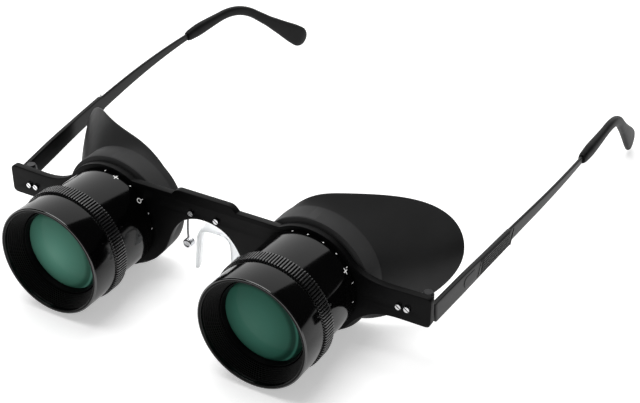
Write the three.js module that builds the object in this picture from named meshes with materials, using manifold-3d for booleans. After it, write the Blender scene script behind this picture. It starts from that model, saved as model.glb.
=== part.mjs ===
// Binocular glasses: two focusing Galilean telescopes in a spectacle frame, in millimetres.
// X runs across the face, Y from the objectives (minus) to the wearer (plus), Z is up.
// The origin is the middle of the bridge's front face. Left and right are the wearer's:
// left is plus X.
import * as THREE from 'three';
import { mergeVertices } from 'three/addons/utils/BufferGeometryUtils.js';
import Module from 'manifold-3d';

const wasm = await Module();
wasm.setup();

// Driving dimensions of the whole instrument
const pupilDistance = 64;
const runningGap = 0.3;
const seatGap = 0.15;
const cutOverrun = 1;
const roundSegments = 48;
const smallSegments = 16;
const weldDistance = 1e-4;
const left = 1;
const right = -1;
const fullTurn = 2 * Math.PI;
const halfTurn = Math.PI;
const quarterTurn = Math.PI / 2;

// Frame plate: its front face is at Y = 0 and its heights count from the barrel axes
const plateThickness = 2.1;
const barrelRingRadius = 16;
const bridgeTopHeight = 15.3;
const bridgeRaisedHalfWidth = 7.7;
const bridgeStepWidth = 2.7;
const bridgeShoulderHeight = 13.6;
const bridgeMidHeight = 11.6;
const frameHalfWidth = 67.8;
const armTopHeight = 6.2;
const armWaistHeight = 5.9;
const armWaistShare = 0.484;
const armBottomHeight = -2.6;
const armBottomShare = 0.622;
const endCornerRadius = 1.6;
const ringToArmTopAngle = 0.63;
const ringToArmBottomAngle = -0.67;
const noseArchTopHeight = 8.05;
const noseArchFootAngle = -2.29;

// Barrels: places along Y count back from the objective rim
const rimToFrame = 27.4;
const hoodRadius = 16;
const hoodLength = 8.5;
const hoodRimWidth = 1.2;
const hoodStepCount = 4;
const hoodDepth = 5.2;
const lensBoreRadius = 12.7;
const lensClearRadius = 11.7;
const lensRingLength = 1.4;
const lensEdge = 2;
const lensFrontSag = 1.7;
const lensRearSag = 0.9;
const shoulderLength = 1.2;
const sleeveWall = 1.5;
const knurlHeight = 1.65;
const knurlDepth = 0.45;
const knurlTeeth = 120;
const knurlLength = 4.3;
const skirtWall = 1.05;
const skirtLipLength = 1.1;
const guideTubeRadius = 11.7;
const guideTubeWall = 1.1;
const guideFlangeLength = 1.3;
const guideFlangeHeight = 1.7;
const focusTravel = 3;

// Eyepieces
const eyepieceHeadLip = 1.4;
const eyepieceHeadLength = 2.6;
const eyepieceNeckWall = 1.3;
const eyepieceNeckLength = 4.6;
const eyeLensRadius = 11;
const eyeLensEdge = 3;
const eyeLensSag = 1;
const eyeRingLength = 1.5;
const eyeRingClearRadius = 9.4;
const eyeSeatDepth = 1;

// Winged rubber eyecups
const cupFrontGap = 0.7;
const cupCollarRadius = 17.2;
const cupCreaseRise = 6.3;
const cupCreaseFlare = 0.2;
const cupRimRadius = 17;
const cupRimRise = 8.8;
const cupWingReach = 14.7;
const cupWingReachAngle = 0.105;
const cupWingUpperSpreadAngle = 1.15;
const cupWingLowerSpreadAngle = 0.785;
const cupWingRise = 17.5;
const cupWingRiseAngle = 0.23;
const cupWall = 1.4;
const cupRimWall = 0.9;
const cupNeckWall = 2.3;
const cupNeckLength = 3.4;

// Temples: lengths along the arm count from its front end
const hingeInset = 3.2;
const hingeSetback = 2.9;
const hingeHeight = 1.2;
const hingeKnuckleRadius = 1.6;
const hingePinRadius = 0.6;
const hingeKnuckleHalfHeight = 0.9;
const hingeOuterKnuckleHeight = 1.7;
const templeOffset = 2.4;
const templeFrontLead = 1.4;
const templeCentreHeight = 0.14;
const templeShaftLength = 109;
const templeSleeveStart = 81.5;
const leftTempleBow = 0.6;
const rightTempleBow = 3.1;
const templeInwardCurve = 3.5;
const templeCurveStart = 50;
const templeTongueLength = 9;
const templeTailLength = 38.8;
const leftTailDropAngle = 0.744;
const leftTailTurnAngle = 0.086;
const rightTailDropAngle = 0.768;
const rightTailTurnAngle = 0.121;
const templeBendBlend = 9;
const leftTempleSplayAngle = 0.115;
const leftTemplePitchAngle = 0.0787;
const rightTempleSplayAngle = -0.027;
const rightTemplePitchAngle = 0.1445;

// Fasteners and nose piece
const endScrewInset = 6.5;
const endScrewPitch = 2.4;
const endScrewHeight = 1.3;
const bridgeScrewX = 4.1;
const bridgeScrewHeight = 9.4;
const screwHeadRadius = 0.8;
const screwHeadThickness = 0.45;
const screwShankRadius = 0.6;
const screwHoleRadius = 0.9;
const screwSlotWidth = 0.35;
const screwSlotDepth = 0.2;
const leafThickness = 1;
const noseWireRadius = 0.45;
const noseMountRadius = 1.4;
const noseMountLength = 2.2;
const noseMountX = 8.7;
const noseMountHeight = -4;
const saddleLegX = 6.8;
const saddleThickness = 1.3;
const saddleWidth = 6.6;
const saddleSetback = 7.1;
const saddleLegBottom = -13;
const saddleCrownHeight = 1.6;
const saddleSplayAngle = 0.36;

// Radii that fit round one another, from the guide tube outwards and from the eye lens outwards
const guideTubeBoreRadius = guideTubeRadius - guideTubeWall;
const guideFlangeRadius = guideTubeRadius + guideFlangeHeight;
const barrelBoreRadius = guideTubeRadius + runningGap;
const sleeveBoreRadius = guideTubeRadius + runningGap;
const sleeveRadius = sleeveBoreRadius + sleeveWall;
const skirtRadius = sleeveRadius + runningGap + skirtWall;
const knurlCrestRadius = skirtRadius + knurlHeight;
const eyepieceNeckRadius = eyeLensRadius + runningGap + eyepieceNeckWall;
const eyepieceHeadRadius = eyepieceNeckRadius + eyepieceHeadLip;
const hingeX = frameHalfWidth - hingeInset;
const endScrewX = frameHalfWidth - endScrewInset;

// Places along Y worked out from the sizes above
const rimY = -rimToFrame;
const hoodRearY = rimY + hoodLength;
const lensRingY = rimY + hoodDepth;
const lensY = lensRingY + lensRingLength + runningGap;
const lensShoulderY = lensY + lensEdge + runningGap;
const sleeveFrontY = lensShoulderY + shoulderLength;
const knurlFrontY = hoodRearY + runningGap;
const knurlRearY = knurlFrontY + knurlLength;
const skirtRearY = -runningGap;
const skirtLipY = skirtRearY - skirtLipLength;
const guideFlangeRearY = skirtLipY - runningGap;
const guideFlangeFrontY = guideFlangeRearY - guideFlangeLength;
const sleeveRearY = guideFlangeFrontY - 2 * runningGap;
const guideFrontY = sleeveFrontY + 2 * runningGap;
const headFrontY = plateThickness + runningGap;
const headRearY = headFrontY + eyepieceHeadLength;
const neckRearY = headRearY + eyepieceNeckLength;
const cupFrontY = plateThickness + cupFrontGap;
const hingeY = plateThickness + hingeSetback;
const barrelX = pupilDistance / 2;

const blackPlastic = { color: 0x161616, roughness: 0.55, metalness: 0 };
const glossBlack = { color: 0x0c0c0d, roughness: 0.2, metalness: 0 };
const blackRubber = { color: 0x1d1d1e, roughness: 0.8, metalness: 0 };
const coatedGlass = { color: 0x2c6b55, roughness: 0.05, metalness: 0 };
const clearGlass = { color: 0xbfd0cb, roughness: 0.05, metalness: 0 };
const chrome = { color: 0xc9cbcf, roughness: 0.2, metalness: 1 };
const blackMetal = { color: 0x202022, roughness: 0.4, metalness: 0.8 };
const clearSilicone = { color: 0xdfe4e6, roughness: 0.25, metalness: 0 };

// A welded copy without degenerate triangles, its faces turned outwards
function weld(geometry) {
  const bare = geometry.clone();
  bare.deleteAttribute('normal');
  bare.deleteAttribute('uv');
  const merged = mergeVertices(bare, weldDistance);
  const position = merged.attributes.position;
  const corners = Array.from(merged.index.array);
  const faces = [];
  for (let i = 0; i < corners.length; i += 3) {
    const [a, b, c] = corners.slice(i, i + 3);
    if (a !== b && b !== c && c !== a) faces.push([a, b, c]);
  }
  const point = (i) => new THREE.Vector3().fromBufferAttribute(position, i);
  const signedVolume = ([a, b, c]) => point(a).dot(point(b).cross(point(c)));
  const volume = faces.reduce((sum, face) => sum + signedVolume(face), 0);
  const turned = volume < 0 ? faces.map(([a, b, c]) => [a, c, b]) : faces;
  const welded = new THREE.BufferGeometry();
  welded.setAttribute('position', position);
  welded.setIndex(turned.flat());
  return welded;
}

function toSolid(geometry) {
  const welded = weld(geometry);
  const vertProperties = new Float32Array(welded.attributes.position.array);
  const triVerts = new Uint32Array(welded.index.array);
  return new wasm.Manifold(new wasm.Mesh({ numProp: 3, vertProperties, triVerts }));
}

function toGeometry(solid) {
  const mesh = solid.getMesh();
  const geometry = new THREE.BufferGeometry();
  geometry.setAttribute('position', new THREE.BufferAttribute(mesh.vertProperties, 3));
  geometry.setIndex(new THREE.BufferAttribute(mesh.triVerts, 1));
  return geometry;
}

function addMesh(group, name, shape, finish) {
  const geometry = shape.isBufferGeometry ? weld(shape) : toGeometry(shape);
  const mesh = new THREE.Mesh(geometry, new THREE.MeshStandardMaterial(finish));
  mesh.name = name;
  group.add(mesh);
  return mesh;
}

// A ring or disc about the Y axis from points [radius, place along Y]
function turned(profile, segments = roundSegments) {
  const points = profile.map(([radius, y]) => new THREE.Vector2(radius, y));
  return new THREE.LatheGeometry(points, segments);
}

function turnedRing(profile, segments = roundSegments) {
  return turned([...profile, profile[0]], segments);
}

function barAlongY(radius, from, to, segments = smallSegments) {
  return turned([[0, from], [radius, from], [radius, to], [0, to]], segments);
}

// A closed skin over rings of points that all have the same count
function loft(rings, capped) {
  const count = rings[0].length;
  const points = rings.flat();
  const faces = [];
  const bands = capped ? rings.length - 1 : rings.length;
  for (let i = 0; i < bands; i += 1) {
    const next = (i + 1) % rings.length;
    for (let j = 0; j < count; j += 1) {
      const beside = (j + 1) % count;
      faces.push([i * count + j, next * count + j, next * count + beside]);
      faces.push([i * count + j, next * count + beside, i * count + beside]);
    }
  }
  if (capped) {
    const last = (rings.length - 1) * count;
    for (let j = 1; j < count - 1; j += 1) {
      faces.push([0, j, j + 1]);
      faces.push([last, last + j + 1, last + j]);
    }
  }
  const geometry = new THREE.BufferGeometry();
  const places = points.flatMap((p) => p.toArray());
  geometry.setAttribute('position', new THREE.Float32BufferAttribute(places, 3));
  geometry.setIndex(faces.flat());
  return geometry;
}

// Half of the frame's outline: heights count from the barrel axes
function frameOutline() {
  const archShares = [[0.915, 0.965], [0.825, 0.9], [0.74, 0.81], [0.65, 0.69], [0.595, 0.575],
    [0.515, 0.37], [0.435, 0.225], [0.33, 0.11], [0.22, 0.045], [0.1, 0.008]];
  const shoulderAngle = Math.asin(bridgeShoulderHeight / barrelRingRadius);
  const shoulderX = barrelX - barrelRingRadius * Math.cos(shoulderAngle);
  const stepX = bridgeRaisedHalfWidth + bridgeStepWidth;
  const onRing = (angle) => [
    barrelX + barrelRingRadius * Math.cos(angle),
    barrelRingRadius * Math.sin(angle),
  ];
  const ringArc = (from, to, steps) => (
    Array.from({ length: steps + 1 }, (_, i) => onRing(from + (to - from) * i / steps)));
  const curve = (a, control, b, steps) => new THREE.QuadraticBezierCurve(
    new THREE.Vector2(...a), new THREE.Vector2(...control), new THREE.Vector2(...b),
  ).getPoints(steps).map((p) => [p.x, p.y]);
  const armLeavesTop = onRing(ringToArmTopAngle);
  const armLeavesBottom = onRing(ringToArmBottomAngle);
  const topControlShare = 0.32;
  const bottomControlShare = 0.36;
  const arcSteps = 14;
  const curveSteps = 6;
  const armWaistX = between(armLeavesTop[0], frameHalfWidth, armWaistShare);
  const armBottomX = between(armLeavesBottom[0], frameHalfWidth, armBottomShare);
  const topControl = [between(armLeavesTop[0], armWaistX, topControlShare), armWaistHeight];
  const bottomControl = [between(armLeavesBottom[0], armBottomX, bottomControlShare), armBottomHeight];
  const stepTop = [bridgeRaisedHalfWidth, bridgeTopHeight];
  const stepControl = [bridgeRaisedHalfWidth + bridgeStepWidth / 2, bridgeTopHeight];
  const foot = onRing(noseArchFootAngle);
  const archDrop = noseArchTopHeight - foot[1];
  const cornerTop = [frameHalfWidth, armTopHeight];
  const cornerBottom = [frameHalfWidth, armBottomHeight];
  return [
    [0, bridgeTopHeight],
    ...curve(stepTop, stepControl, [stepX, bridgeShoulderHeight], curveSteps),
    [shoulderX, bridgeShoulderHeight],
    ...ringArc(halfTurn - shoulderAngle, ringToArmTopAngle, arcSteps).slice(1),
    ...curve(armLeavesTop, topControl, [armWaistX, armWaistHeight], curveSteps).slice(1),
    ...curve([frameHalfWidth - endCornerRadius, armTopHeight], cornerTop,
      [frameHalfWidth, armTopHeight - endCornerRadius], curveSteps),
    ...curve([frameHalfWidth, armBottomHeight + endCornerRadius], cornerBottom,
      [frameHalfWidth - endCornerRadius, armBottomHeight], curveSteps),
    ...curve([armBottomX, armBottomHeight], bottomControl, armLeavesBottom, curveSteps),
    ...ringArc(ringToArmBottomAngle, noseArchFootAngle, arcSteps).slice(1),
    ...archShares.map(([across, down]) => [foot[0] * across, noseArchTopHeight - archDrop * down]),
    [0, noseArchTopHeight],
  ];
}

function screwPlaces() {
  return [left, right].flatMap((side) => {
    const name = side === left ? 'left' : 'right';
    return [
      { name, place: 'outer', x: side * endScrewX, z: endScrewHeight },
      { name, place: 'inner', x: side * (endScrewX - endScrewPitch), z: endScrewHeight },
      { name, place: 'bridge', x: side * bridgeScrewX, z: bridgeScrewHeight },
    ];
  });
}

function frontFrame() {
  const half = frameOutline();
  const mirrored = half.slice(1, -1).reverse().map(([x, z]) => [-x, z]);
  const outline = new THREE.Shape([...half, ...mirrored].map(([x, z]) => new THREE.Vector2(x, z)));
  const plate = new THREE.ExtrudeGeometry(outline, { depth: plateThickness, bevelEnabled: false });
  plate.rotateX(quarterTurn);
  plate.translate(0, plateThickness, 0);
  let solid = toSolid(plate);
  for (const side of [left, right]) {
    const bore = barAlongY(barrelBoreRadius, -cutOverrun, plateThickness + cutOverrun, roundSegments);
    bore.translate(side * barrelX, 0, 0);
    solid = solid.subtract(toSolid(bore));
  }
  for (const { x, z } of screwPlaces()) {
    const hole = barAlongY(screwHoleRadius, -cutOverrun, plateThickness + cutOverrun);
    hole.translate(x, 0, z);
    solid = solid.subtract(toSolid(hole));
  }
  return solid;
}

function objectiveTube() {
  const rimChamfer = 0.4;
  const lipRadius = hoodRadius - hoodRimWidth;
  const stepRun = (hoodDepth - rimChamfer) / hoodStepCount;
  const stepDrop = (lipRadius - lensBoreRadius) / hoodStepCount;
  const steps = Array.from({ length: hoodStepCount }, (_, i) => [
    [lipRadius - i * stepDrop, rimY + rimChamfer + i * stepRun],
    [lipRadius - (i + 1) * stepDrop, rimY + rimChamfer + i * stepRun],
  ]).flat().slice(1);
  const body = toSolid(turnedRing([
    [hoodRadius - rimChamfer, rimY],
    [hoodRadius, rimY + rimChamfer],
    [hoodRadius, hoodRearY],
    [sleeveRadius, hoodRearY],
    [sleeveRadius, sleeveRearY],
    [sleeveBoreRadius, sleeveRearY],
    [sleeveBoreRadius, sleeveFrontY],
    [lensClearRadius, sleeveFrontY],
    [lensClearRadius, lensShoulderY],
    [lensBoreRadius, lensShoulderY],
    [lensBoreRadius, lensRingY],
    ...steps.reverse(),
    [lipRadius, rimY],
  ]));
  const slotRadius = guideScrewRadius + runningGap;
  const slotFrontY = guideScrewY - slotRadius;
  const slotLength = sleeveRearY + cutOverrun - slotFrontY;
  const slot = new THREE.BoxGeometry(2 * slotRadius, slotLength, sleeveRadius);
  slot.translate(0, slotFrontY + slotLength / 2, sleeveRadius);
  return body.subtract(toSolid(slot));
}

// The guide screw keeps the objective tube from turning in its straight slot
const guideScrewRadius = 0.8;
const guideScrewY = sleeveRearY - focusTravel - 2 * guideScrewRadius;
const guideScrewReach = sleeveRadius - runningGap;

function guideScrew() {
  const screw = new THREE.CylinderGeometry(guideScrewRadius, guideScrewRadius,
    guideScrewReach - guideTubeBoreRadius - runningGap, smallSegments);
  screw.rotateX(quarterTurn);
  screw.translate(0, guideScrewY, (guideScrewReach + guideTubeBoreRadius + runningGap) / 2);
  return screw;
}

function objectiveLens() {
  const radius = lensBoreRadius - runningGap;
  const shares = [0, 0.25, 0.5, 0.7, 0.85, 1];
  const bulge = (share) => 1 - share * share;
  const front = shares.map((share) => [radius * share, lensY - lensFrontSag * bulge(share)]);
  const rear = shares.map((share) => [radius * share, lensY + lensEdge + lensRearSag * bulge(share)]);
  return turned([...front, ...rear.reverse()]);
}

function lensRing() {
  const bevel = 0.5;
  const outer = lensBoreRadius - runningGap;
  return turnedRing([[lensClearRadius + bevel, lensRingY], [outer, lensRingY],
    [outer, lensRingY + lensRingLength], [lensClearRadius, lensRingY + lensRingLength]]);
}

// Toothed band of the focusing ring, drawn in the plane square to the barrel
function knurledBand() {
  const rootRadius = knurlCrestRadius - knurlDepth;
  const pointsPerTooth = 2;
  const crestShares = [1, 0];
  const count = knurlTeeth * pointsPerTooth;
  const outline = new THREE.Shape(Array.from({ length: count }, (_, i) => {
    const radius = rootRadius + knurlDepth * crestShares[i % pointsPerTooth];
    const angle = (i - 1 / 2) * fullTurn / count;
    return new THREE.Vector2(radius * Math.cos(angle), radius * Math.sin(angle));
  }));
  const bore = new THREE.Path();
  bore.absarc(0, 0, sleeveRadius + runningGap, 0, fullTurn, true);
  outline.holes.push(bore);
  const settings = { depth: knurlLength, bevelEnabled: false, curveSegments: roundSegments };
  const band = new THREE.ExtrudeGeometry(outline, settings);
  band.rotateX(quarterTurn);
  band.translate(0, knurlRearY, 0);
  return band;
}

function focusRing() {
  const inner = sleeveRadius + runningGap;
  const rearChamfer = 0.3;
  const skirt = turnedRing([
    [inner, (knurlFrontY + knurlRearY) / 2],
    [skirtRadius, (knurlFrontY + knurlRearY) / 2],
    [skirtRadius, skirtRearY - rearChamfer],
    [skirtRadius - rearChamfer, skirtRearY],
    [guideTubeRadius + runningGap, skirtRearY],
    [guideTubeRadius + runningGap, skirtLipY],
    [inner, skirtLipY],
  ]);
  return toSolid(skirt).add(toSolid(knurledBand()));
}

function guideTube() {
  const seatRadius = eyeLensRadius + runningGap;
  const eyeSeatY = headFrontY + eyeSeatDepth;
  const tube = toSolid(turnedRing([
    [guideTubeBoreRadius, guideFrontY],
    [guideTubeRadius, guideFrontY],
    [guideTubeRadius, guideFlangeFrontY],
    [guideFlangeRadius, guideFlangeFrontY],
    [guideFlangeRadius, guideFlangeRearY],
    [guideTubeRadius, guideFlangeRearY],
    [guideTubeRadius, headFrontY],
    [eyepieceHeadRadius, headFrontY],
    [eyepieceHeadRadius, headRearY],
    [eyepieceNeckRadius, headRearY],
    [eyepieceNeckRadius, neckRearY],
    [seatRadius, neckRearY],
    [seatRadius, eyeSeatY],
    [guideTubeBoreRadius, eyeSeatY],
  ]));
  const hole = new THREE.CylinderGeometry(guideScrewRadius + runningGap, guideScrewRadius + runningGap,
    guideTubeRadius, smallSegments);
  hole.rotateX(quarterTurn);
  hole.translate(0, guideScrewY, guideTubeRadius);
  return tube.subtract(toSolid(hole));
}

// The eye lens is thin in the middle and thick at its edge
function eyeLens() {
  const front = headFrontY + eyeSeatDepth + runningGap;
  const shares = [0, 0.3, 0.55, 0.8, 0.9];
  const rear = front + eyeLensEdge;
  const dip = (share) => eyeLensSag * (1 - share * share);
  const frontFace = shares.map((share) => [eyeLensRadius * share, front + dip(share)]);
  const rearFace = shares.map((share) => [eyeLensRadius * share, rear - dip(share)]);
  return turned([...frontFace, [eyeLensRadius, front], [eyeLensRadius, rear], ...rearFace.reverse()]);
}

function eyeRing() {
  const front = headFrontY + eyeSeatDepth + eyeLensEdge + 2 * runningGap;
  const bevel = 0.4;
  const rear = front + eyeRingLength;
  return turnedRing([[eyeRingClearRadius, front], [eyeLensRadius, front], [eyeLensRadius, rear],
    [eyeRingClearRadius + bevel, rear]]);
}

// The cup's wall at one angle: a collar, a crease, and a wing that rises on the temple side
function eyecupSection(angle) {
  const offAngle = (from) => Math.atan2(Math.sin(angle - from), Math.cos(angle - from));
  const reachOff = offAngle(cupWingReachAngle);
  const spread = reachOff > 0 ? cupWingUpperSpreadAngle : cupWingLowerSpreadAngle;
  const tailShare = 0.22;
  const reach = Math.max(0, (1 / (1 + (reachOff / spread) ** 2) - tailShare) / (1 - tailShare));
  const riseNarrowing = 1.06;
  const rise = Math.cos(Math.min(Math.abs(offAngle(cupWingRiseAngle)) * riseNarrowing, quarterTurn)) ** 3;
  const rimRadius = cupRimRadius + cupWingReach * reach;
  const rimY = cupFrontY + cupRimRise + cupWingRise * rise;
  const crease = [cupCollarRadius + cupCreaseFlare * reach, cupFrontY + cupCreaseRise];
  const outwardShare = 0.22 + 0.25 * reach;
  const riseShare = 0.5 - 0.12 * reach;
  const control = [
    crease[0] + (rimRadius - crease[0]) * outwardShare,
    crease[1] + (rimY - crease[1]) * riseShare,
  ];
  const wing = new THREE.QuadraticBezierCurve(new THREE.Vector2(...crease), new THREE.Vector2(...control),
    new THREE.Vector2(rimRadius, rimY));
  const stations = [0, 0.3, 0.55, 0.8, 1];
  const outer = stations.map((t) => wing.getPoint(t));
  const inner = stations.map((t) => {
    const tangent = wing.getTangent(t);
    const wall = cupWall + (cupRimWall - cupWall) * t;
    return wing.getPoint(t).add(new THREE.Vector2(-tangent.y, tangent.x).multiplyScalar(wall));
  }).reverse();
  const neckRadius = eyepieceNeckRadius + runningGap;
  return [
    [neckRadius, headRearY + runningGap],
    [eyepieceHeadRadius + runningGap, headRearY + runningGap],
    [eyepieceHeadRadius + runningGap, cupFrontY],
    [cupCollarRadius, cupFrontY],
    ...outer.map((p) => [p.x, p.y]),
    ...inner.map((p) => [p.x, p.y]),
    [neckRadius + cupNeckWall, headRearY + runningGap + cupNeckLength],
    [neckRadius, headRearY + runningGap + cupNeckLength],
  ];
}

function eyecup(side) {
  const rings = Array.from({ length: cupSegments }, (_, i) => {
    const angle = i * fullTurn / cupSegments;
    return eyecupSection(angle).map(([radius, y]) => (
      new THREE.Vector3(side * radius * Math.cos(angle), y, radius * Math.sin(angle))));
  });
  return loft(rings, false);
}

const cupSegments = 48;

// A temple's centre line in the hinge's own frame: X is outwards, Y back, Z up
function templeLine(set) {
  const shaftAt = (s) => {
    const curved = Math.max(0, s - templeCurveStart) / (templeShaftLength - templeCurveStart);
    const bow = 4 * (s / templeShaftLength) * (1 - s / templeShaftLength);
    return new THREE.Vector3(templeOffset - templeInwardCurve * curved * curved,
      s * Math.cos(set.pitch) - templeFrontLead,
      templeCentreHeight - hingeHeight + s * Math.sin(set.pitch) + set.bow * bow);
  };
  const bend = shaftAt(templeShaftLength);
  const inward = 2 * templeInwardCurve / (templeShaftLength - templeCurveStart) + set.tailTurn;
  const drop = set.tailDrop - set.pitch;
  const tailWay = new THREE.Vector3(-Math.sin(inward), Math.cos(inward), 0)
    .multiplyScalar(Math.cos(drop)).setZ(-Math.sin(drop));
  const tailAt = (t) => bend.clone().addScaledVector(tailWay, t);
  const blendStart = templeShaftLength - templeBendBlend;
  const blend = new THREE.QuadraticBezierCurve3(shaftAt(blendStart), bend, tailAt(templeBendBlend));
  return (s) => {
    if (s <= blendStart) return shaftAt(s);
    if (s >= templeShaftLength + templeBendBlend) return tailAt(s - templeShaftLength);
    return blend.getPoint((s - blendStart) / (2 * templeBendBlend));
  };
}

// Rings of a flat bar along the temple: stations hold the place and the size each way from the line
function barRings(line, stations, cornerShare, cornerSteps) {
  const probe = 0.5;
  return stations.map(({ at, above, below, outer, inner }) => {
    const centre = line(at);
    const along = line(at + probe).sub(line(at - probe)).normalize();
    const across = new THREE.Vector3().crossVectors(along, new THREE.Vector3(0, 0, 1)).normalize();
    const up = new THREE.Vector3().crossVectors(across, along);
    const halfHeight = (above + below) / 2;
    const halfThickness = (outer + inner) / 2;
    centre.addScaledVector(across, (outer - inner) / 2).addScaledVector(up, (above - below) / 2);
    const corner = Math.min(halfHeight, halfThickness) * cornerShare;
    const ring = [];
    for (let q = 0; q < 4; q += 1) {
      for (let k = 0; k <= cornerSteps; k += 1) {
        const angle = (q + k / cornerSteps) * quarterTurn;
        const signX = Math.sign(Math.cos((q + 1 / 2) * quarterTurn));
        const signZ = Math.sign(Math.sin((q + 1 / 2) * quarterTurn));
        const x = signX * (halfThickness - corner) + corner * Math.cos(angle);
        const z = signZ * (halfHeight - corner) + corner * Math.sin(angle);
        ring.push(centre.clone().addScaledVector(across, x).addScaledVector(up, z));
      }
    }
    return ring;
  });
}

function between(a, b, share) {
  return a + (b - a) * share;
}

function evenStation(at, height, thickness) {
  return { at, above: height / 2, below: height / 2, outer: thickness / 2, inner: thickness / 2 };
}

const templeFrontHeight = 5.2;
const templePanelHeight = 4;
const templePanelOuter = 1;
const templeStripThickness = 0.9;
const templePanelEnd = 38;
const templeStepLength = 0.8;
const templeEndHeight = 1.9;
const tongueHeight = 1.5;
const tongueThickness = 0.8;

// The front is a thick panel; behind it a thin strip tapers to the tongue inside the tip
function temple(set) {
  const line = templeLine(set);
  const cornerShare = 0.35;
  const inner = templeStripThickness / 2;
  const panelShares = [0, 0.35, 0.65, 1];
  const panelLossShares = [0, 0.1, 0.65, 1];
  const panel = panelShares.map((share, i) => {
    const height = templeFrontHeight + (templePanelHeight - templeFrontHeight) * panelLossShares[i];
    const half = height / 2;
    return { at: templePanelEnd * share, above: half, below: half, outer: templePanelOuter, inner };
  });
  const stripShares = [0, 0.25, 0.5, 0.75, 1];
  const stripStart = templePanelEnd + templeStepLength;
  const strip = stripShares.map((share) => evenStation(stripStart + (templeSleeveStart - stripStart) * share,
    templePanelHeight + (templeEndHeight - templePanelHeight) * share, templeStripThickness));
  const bladeShares = [-0.2, 1];
  const blade = bladeShares.map((share) => evenStation(templeSleeveStart + templeTongueLength * share,
    tongueHeight, tongueThickness));
  const knuckle = uprightBar(hingeKnuckleRadius, -hingeKnuckleHalfHeight, hingeKnuckleHalfHeight);
  const strapWidth = templeOffset;
  const strapDepth = 2 * hingeKnuckleRadius * Math.SQRT1_2;
  const strap = new THREE.BoxGeometry(strapWidth, strapDepth, 2 * hingeKnuckleHalfHeight);
  strap.translate(strapWidth / 2, 0, 0);
  const pinHole = uprightBar(hingePinRadius + runningGap, -hingeKnuckleHalfHeight - cutOverrun,
    hingeKnuckleHalfHeight + cutOverrun);
  return toSolid(loft(barRings(line, [...panel, ...strip], cornerShare, 1), true))
    .add(toSolid(loft(barRings(line, blade, cornerShare, 1), true)))
    .add(toSolid(strap)).add(toSolid(knuckle)).subtract(toSolid(pinHole));
}

// The moulded tip over the temple's end: a sleeve, the bend behind the ear and a paddle
const tipMouthHeight = 3;
const tipMouthThickness = 2.5;
const tipBendHeight = 2.5;
const tipBendThickness = 2.1;
const tipPaddleHeight = 6.4;
const tipPaddleThickness = 2.6;
const tipEndRadius = 3;

function templeTip(set) {
  const line = templeLine(set);
  const mouth = templeSleeveStart + runningGap;
  const end = templeShaftLength + templeTailLength;
  const bendStart = templeShaftLength - templeBendBlend;
  const bendEnd = templeShaftLength + templeBendBlend;
  const paddle = end - tipEndRadius;
  const mouthShares = [0, 0.12, 0.5, 1];
  const mouthSizeShares = [0.86, 1, 1, 0.92];
  const bendShares = [0.2, 0.4, 0.6, 0.8, 1];
  const tailShares = [0.3, 0.6, 0.85, 1];
  const tailGrowthShares = [0.12, 0.4, 0.85, 1];
  const endShares = [0.45, 0.75, 0.93, 1];
  const stations = [
    ...mouthShares.map((share, i) => evenStation(between(mouth, bendStart, share),
      between(tipMouthHeight, tipBendHeight, share) * mouthSizeShares[i],
      between(tipMouthThickness, tipBendThickness, share))),
    ...bendShares.map((share) => (
      evenStation(between(bendStart, bendEnd, share), tipBendHeight, tipBendThickness))),
    ...tailShares.map((share, i) => evenStation(between(bendEnd, paddle, share),
      between(tipBendHeight, tipPaddleHeight, tailGrowthShares[i]),
      between(tipBendThickness, tipPaddleThickness, share))),
    ...endShares.map((share) => {
      const roundShare = Math.sqrt(1 - share * share * 0.96);
      const at = between(paddle, end, share);
      return evenStation(at, tipPaddleHeight * roundShare, tipPaddleThickness * roundShare);
    }),
  ];
  const cornerShare = 0.95;
  const cornerSteps = 3;
  const socketShares = [-0.1, 0.5, 1];
  const socketLength = templeTongueLength + runningGap;
  const socket = socketShares.map((share) => evenStation(templeSleeveStart + socketLength * share,
    tongueHeight + 2 * runningGap, tongueThickness + 2 * runningGap));
  return toSolid(loft(barRings(line, stations, cornerShare, cornerSteps), true))
    .subtract(toSolid(loft(barRings(line, socket, cornerShare / 2, 1), true)));
}

// Upright cylinder about the hinge axis between two heights
function uprightBar(radius, from, to) {
  const bar = new THREE.CylinderGeometry(radius, radius, to - from, smallSegments);
  bar.rotateX(quarterTurn);
  bar.translate(0, 0, (from + to) / 2);
  return bar;
}

const outerKnuckleStart = hingeKnuckleHalfHeight + runningGap;
const outerKnuckleEnd = outerKnuckleStart + hingeOuterKnuckleHeight;

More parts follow.
